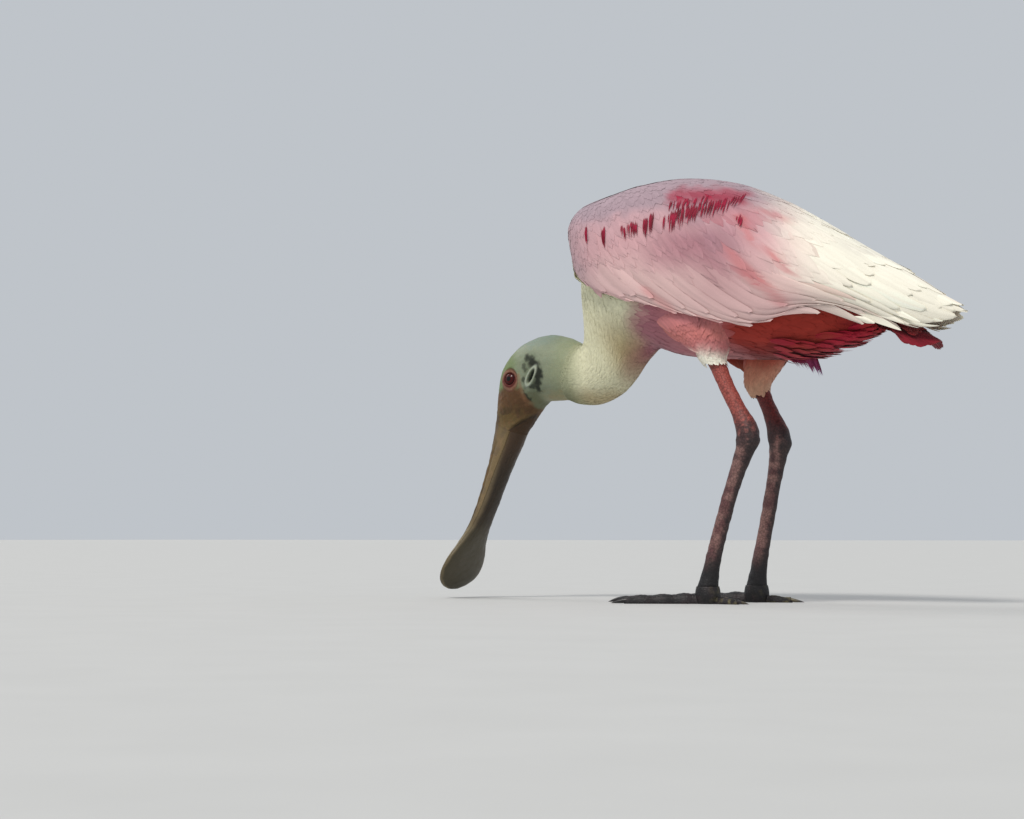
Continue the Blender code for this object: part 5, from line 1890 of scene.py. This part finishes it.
@dataclass
class Studio:
    """A pale floor, soft lights and the camera at the photo's angle.

    The camera stands at a distance and height in metres, off to one side of the stance by its azimuth.
    """

    half_floor: float = 30000.0
    azimuth: float = 30.0
    distance: float = 1.70
    height: float = 0.05
    lens: float = 78.0
    heading: float = 35.7205
    pitch: float = 3.2913

    def floor(self) -> None:
        """A wide matt floor."""
        g = Graph("floor")
        tone = g.noise(g.place(), 60.0, 2.0)
        colour = g.tint(tone, (0.0, (0.50, 0.50, 0.49)), (1.0, (0.54, 0.54, 0.53)))
        material = g.finish(Base_Color=colour, Roughness=0.85)
        corners = np.array(((-1.0, -1.0, 0.0), (1.0, -1.0, 0.0), (1.0, 1.0, 0.0), (-1.0, 1.0, 0.0)))
        made = mesh_object("floor", corners * self.half_floor, np.array([[0, 1, 2, 3]]))
        made.data.materials.append(material)

    def light(
        self, name: str, azimuth: float, height: float, spread: float, power: float, tint: tuple
    ) -> None:
        """A broad soft light from far off: its direction and spread in degrees, its power and its tint."""
        lamp = bpy.data.lights.new(name, "SUN")
        lamp.angle, lamp.energy, lamp.color = math.radians(spread), power, tint
        made = bpy.data.objects.new(name, lamp)
        made.rotation_euler = (math.radians(90 - height), 0.0, math.radians(azimuth))
        bpy.context.scene.collection.objects.link(made)

    def build(self) -> None:
        """The floor, the lights, the pale surround and the camera."""
        self.floor()
        self.light("key", 2.0, 52.0, 16.0, 1.95, (1.0, 0.96, 0.90))
        self.light("rim", -100.0, 40.0, 30.0, 0.7, (1.0, 0.98, 0.95))
        world = bpy.data.worlds.new("studio")
        world.use_nodes = True
        world.node_tree.nodes["Background"].inputs[0].default_value = (0.84, 0.89, 0.95, 1.0)
        world.node_tree.nodes["Background"].inputs[1].default_value = 0.62
        bpy.context.scene.world = world
        lens = bpy.data.cameras.new("camera")
        lens.lens, lens.sensor_width, lens.clip_start = self.lens, 36.0, 0.01
        camera = bpy.data.objects.new("camera", lens)
        turn = math.radians(self.azimuth)
        camera.location = (
            STANCE[0] * MM + self.distance * math.sin(turn),
            -self.distance * math.cos(turn),
            self.height,
        )
        camera.rotation_euler = (math.pi / 2 + math.radians(self.pitch), 0.0, math.radians(self.heading))
        bpy.context.scene.collection.objects.link(camera)
        bpy.context.scene.camera = camera
        bpy.context.scene.view_settings.view_transform = "Standard"


def keep(piece: bpy.types.Object, slot: str, *nodes: str) -> None:
    """Rides a piece on the body, hides and names the solids it stands for, and reports it."""
    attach(piece, BODY)
    if nodes:
        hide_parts(*nodes)
    LOG.info("%s stands for %s", piece.name, ", ".join(nodes) or "no solid of its own")


def main() -> None:
    """Builds every piece in order."""
    logging.basicConfig(level=logging.INFO, format="%(message)s")
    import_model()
    feathers = FeatherFinish("plumage").material()
    carmine = FeatherFinish("carmine_plumage", 0.6, 0.05, 0.9).material()
    keep(
        Skin().make(SkinFinish().material()),
        "bare_skin",
        "torso", "neck_lower", "neck_upper", "head", "thigh_l", "thigh_r",
    )
    coat = BodyCoat()
    keep(coat.neck("neck_feathers", NECK_BANDS, feathers), "white_plumage")
    keep(coat.neck("nape_feathers", NAPE_BANDS, feathers), "white_plumage")
    keep(coat.body(feathers), "red_plumage")
    keep(coat.collar(feathers), "pink_plumage")
    keep(coat.wisps(feathers), "red_plumage")
    keep(Tail().make(feathers), "red_plumage", "tail")
    eye, horn = EyeFinish().material(), HornFinish("bill_horn").material()
    scales, claw = ScaleFinish().material(), HornFinish("claw_horn", 0.35).material()
    keep(Bill().half("bill_upper_half", True, horn), "bill_horn", "bill_upper")
    keep(Bill().half("bill_lower_half", False, horn), "bill_horn", "bill_lower")
    for side in Side:
        letter = side.letter
        keep(Eyes().make(side, eye), "eye", "eye_" + letter)
        keep(coat.thigh(side, feathers), "pink_plumage")
        wing = WingCoat(side)
        keep(wing.coverts(feathers), "pink_plumage", "wing_" + letter)
        keep(wing.flights(feathers), "pink_plumage")
        keep(wing.plumes(carmine), "pink_plumage")
        keep(wing.strays(feathers), "pink_plumage")
        leg = Leg(side)
        keep(leg.shaft("shank_skin_" + letter, 0.2, ANKLE, scales), "leg_scales", "shank_" + letter)
        keep(leg.shaft("tarsus_skin_" + letter, ANKLE, 12.0, scales), "leg_scales", "tarsus_" + letter)
        foot, claws = leg.foot("foot_skin_" + letter, scales, claw)
        keep(foot, "foot_scales", "foot_" + letter)
        keep(claws, "foot_scales")
    keep(WingCoat.mantle(feathers), "pink_plumage")
    Studio().build()


if __name__ == "__main__":
    main()
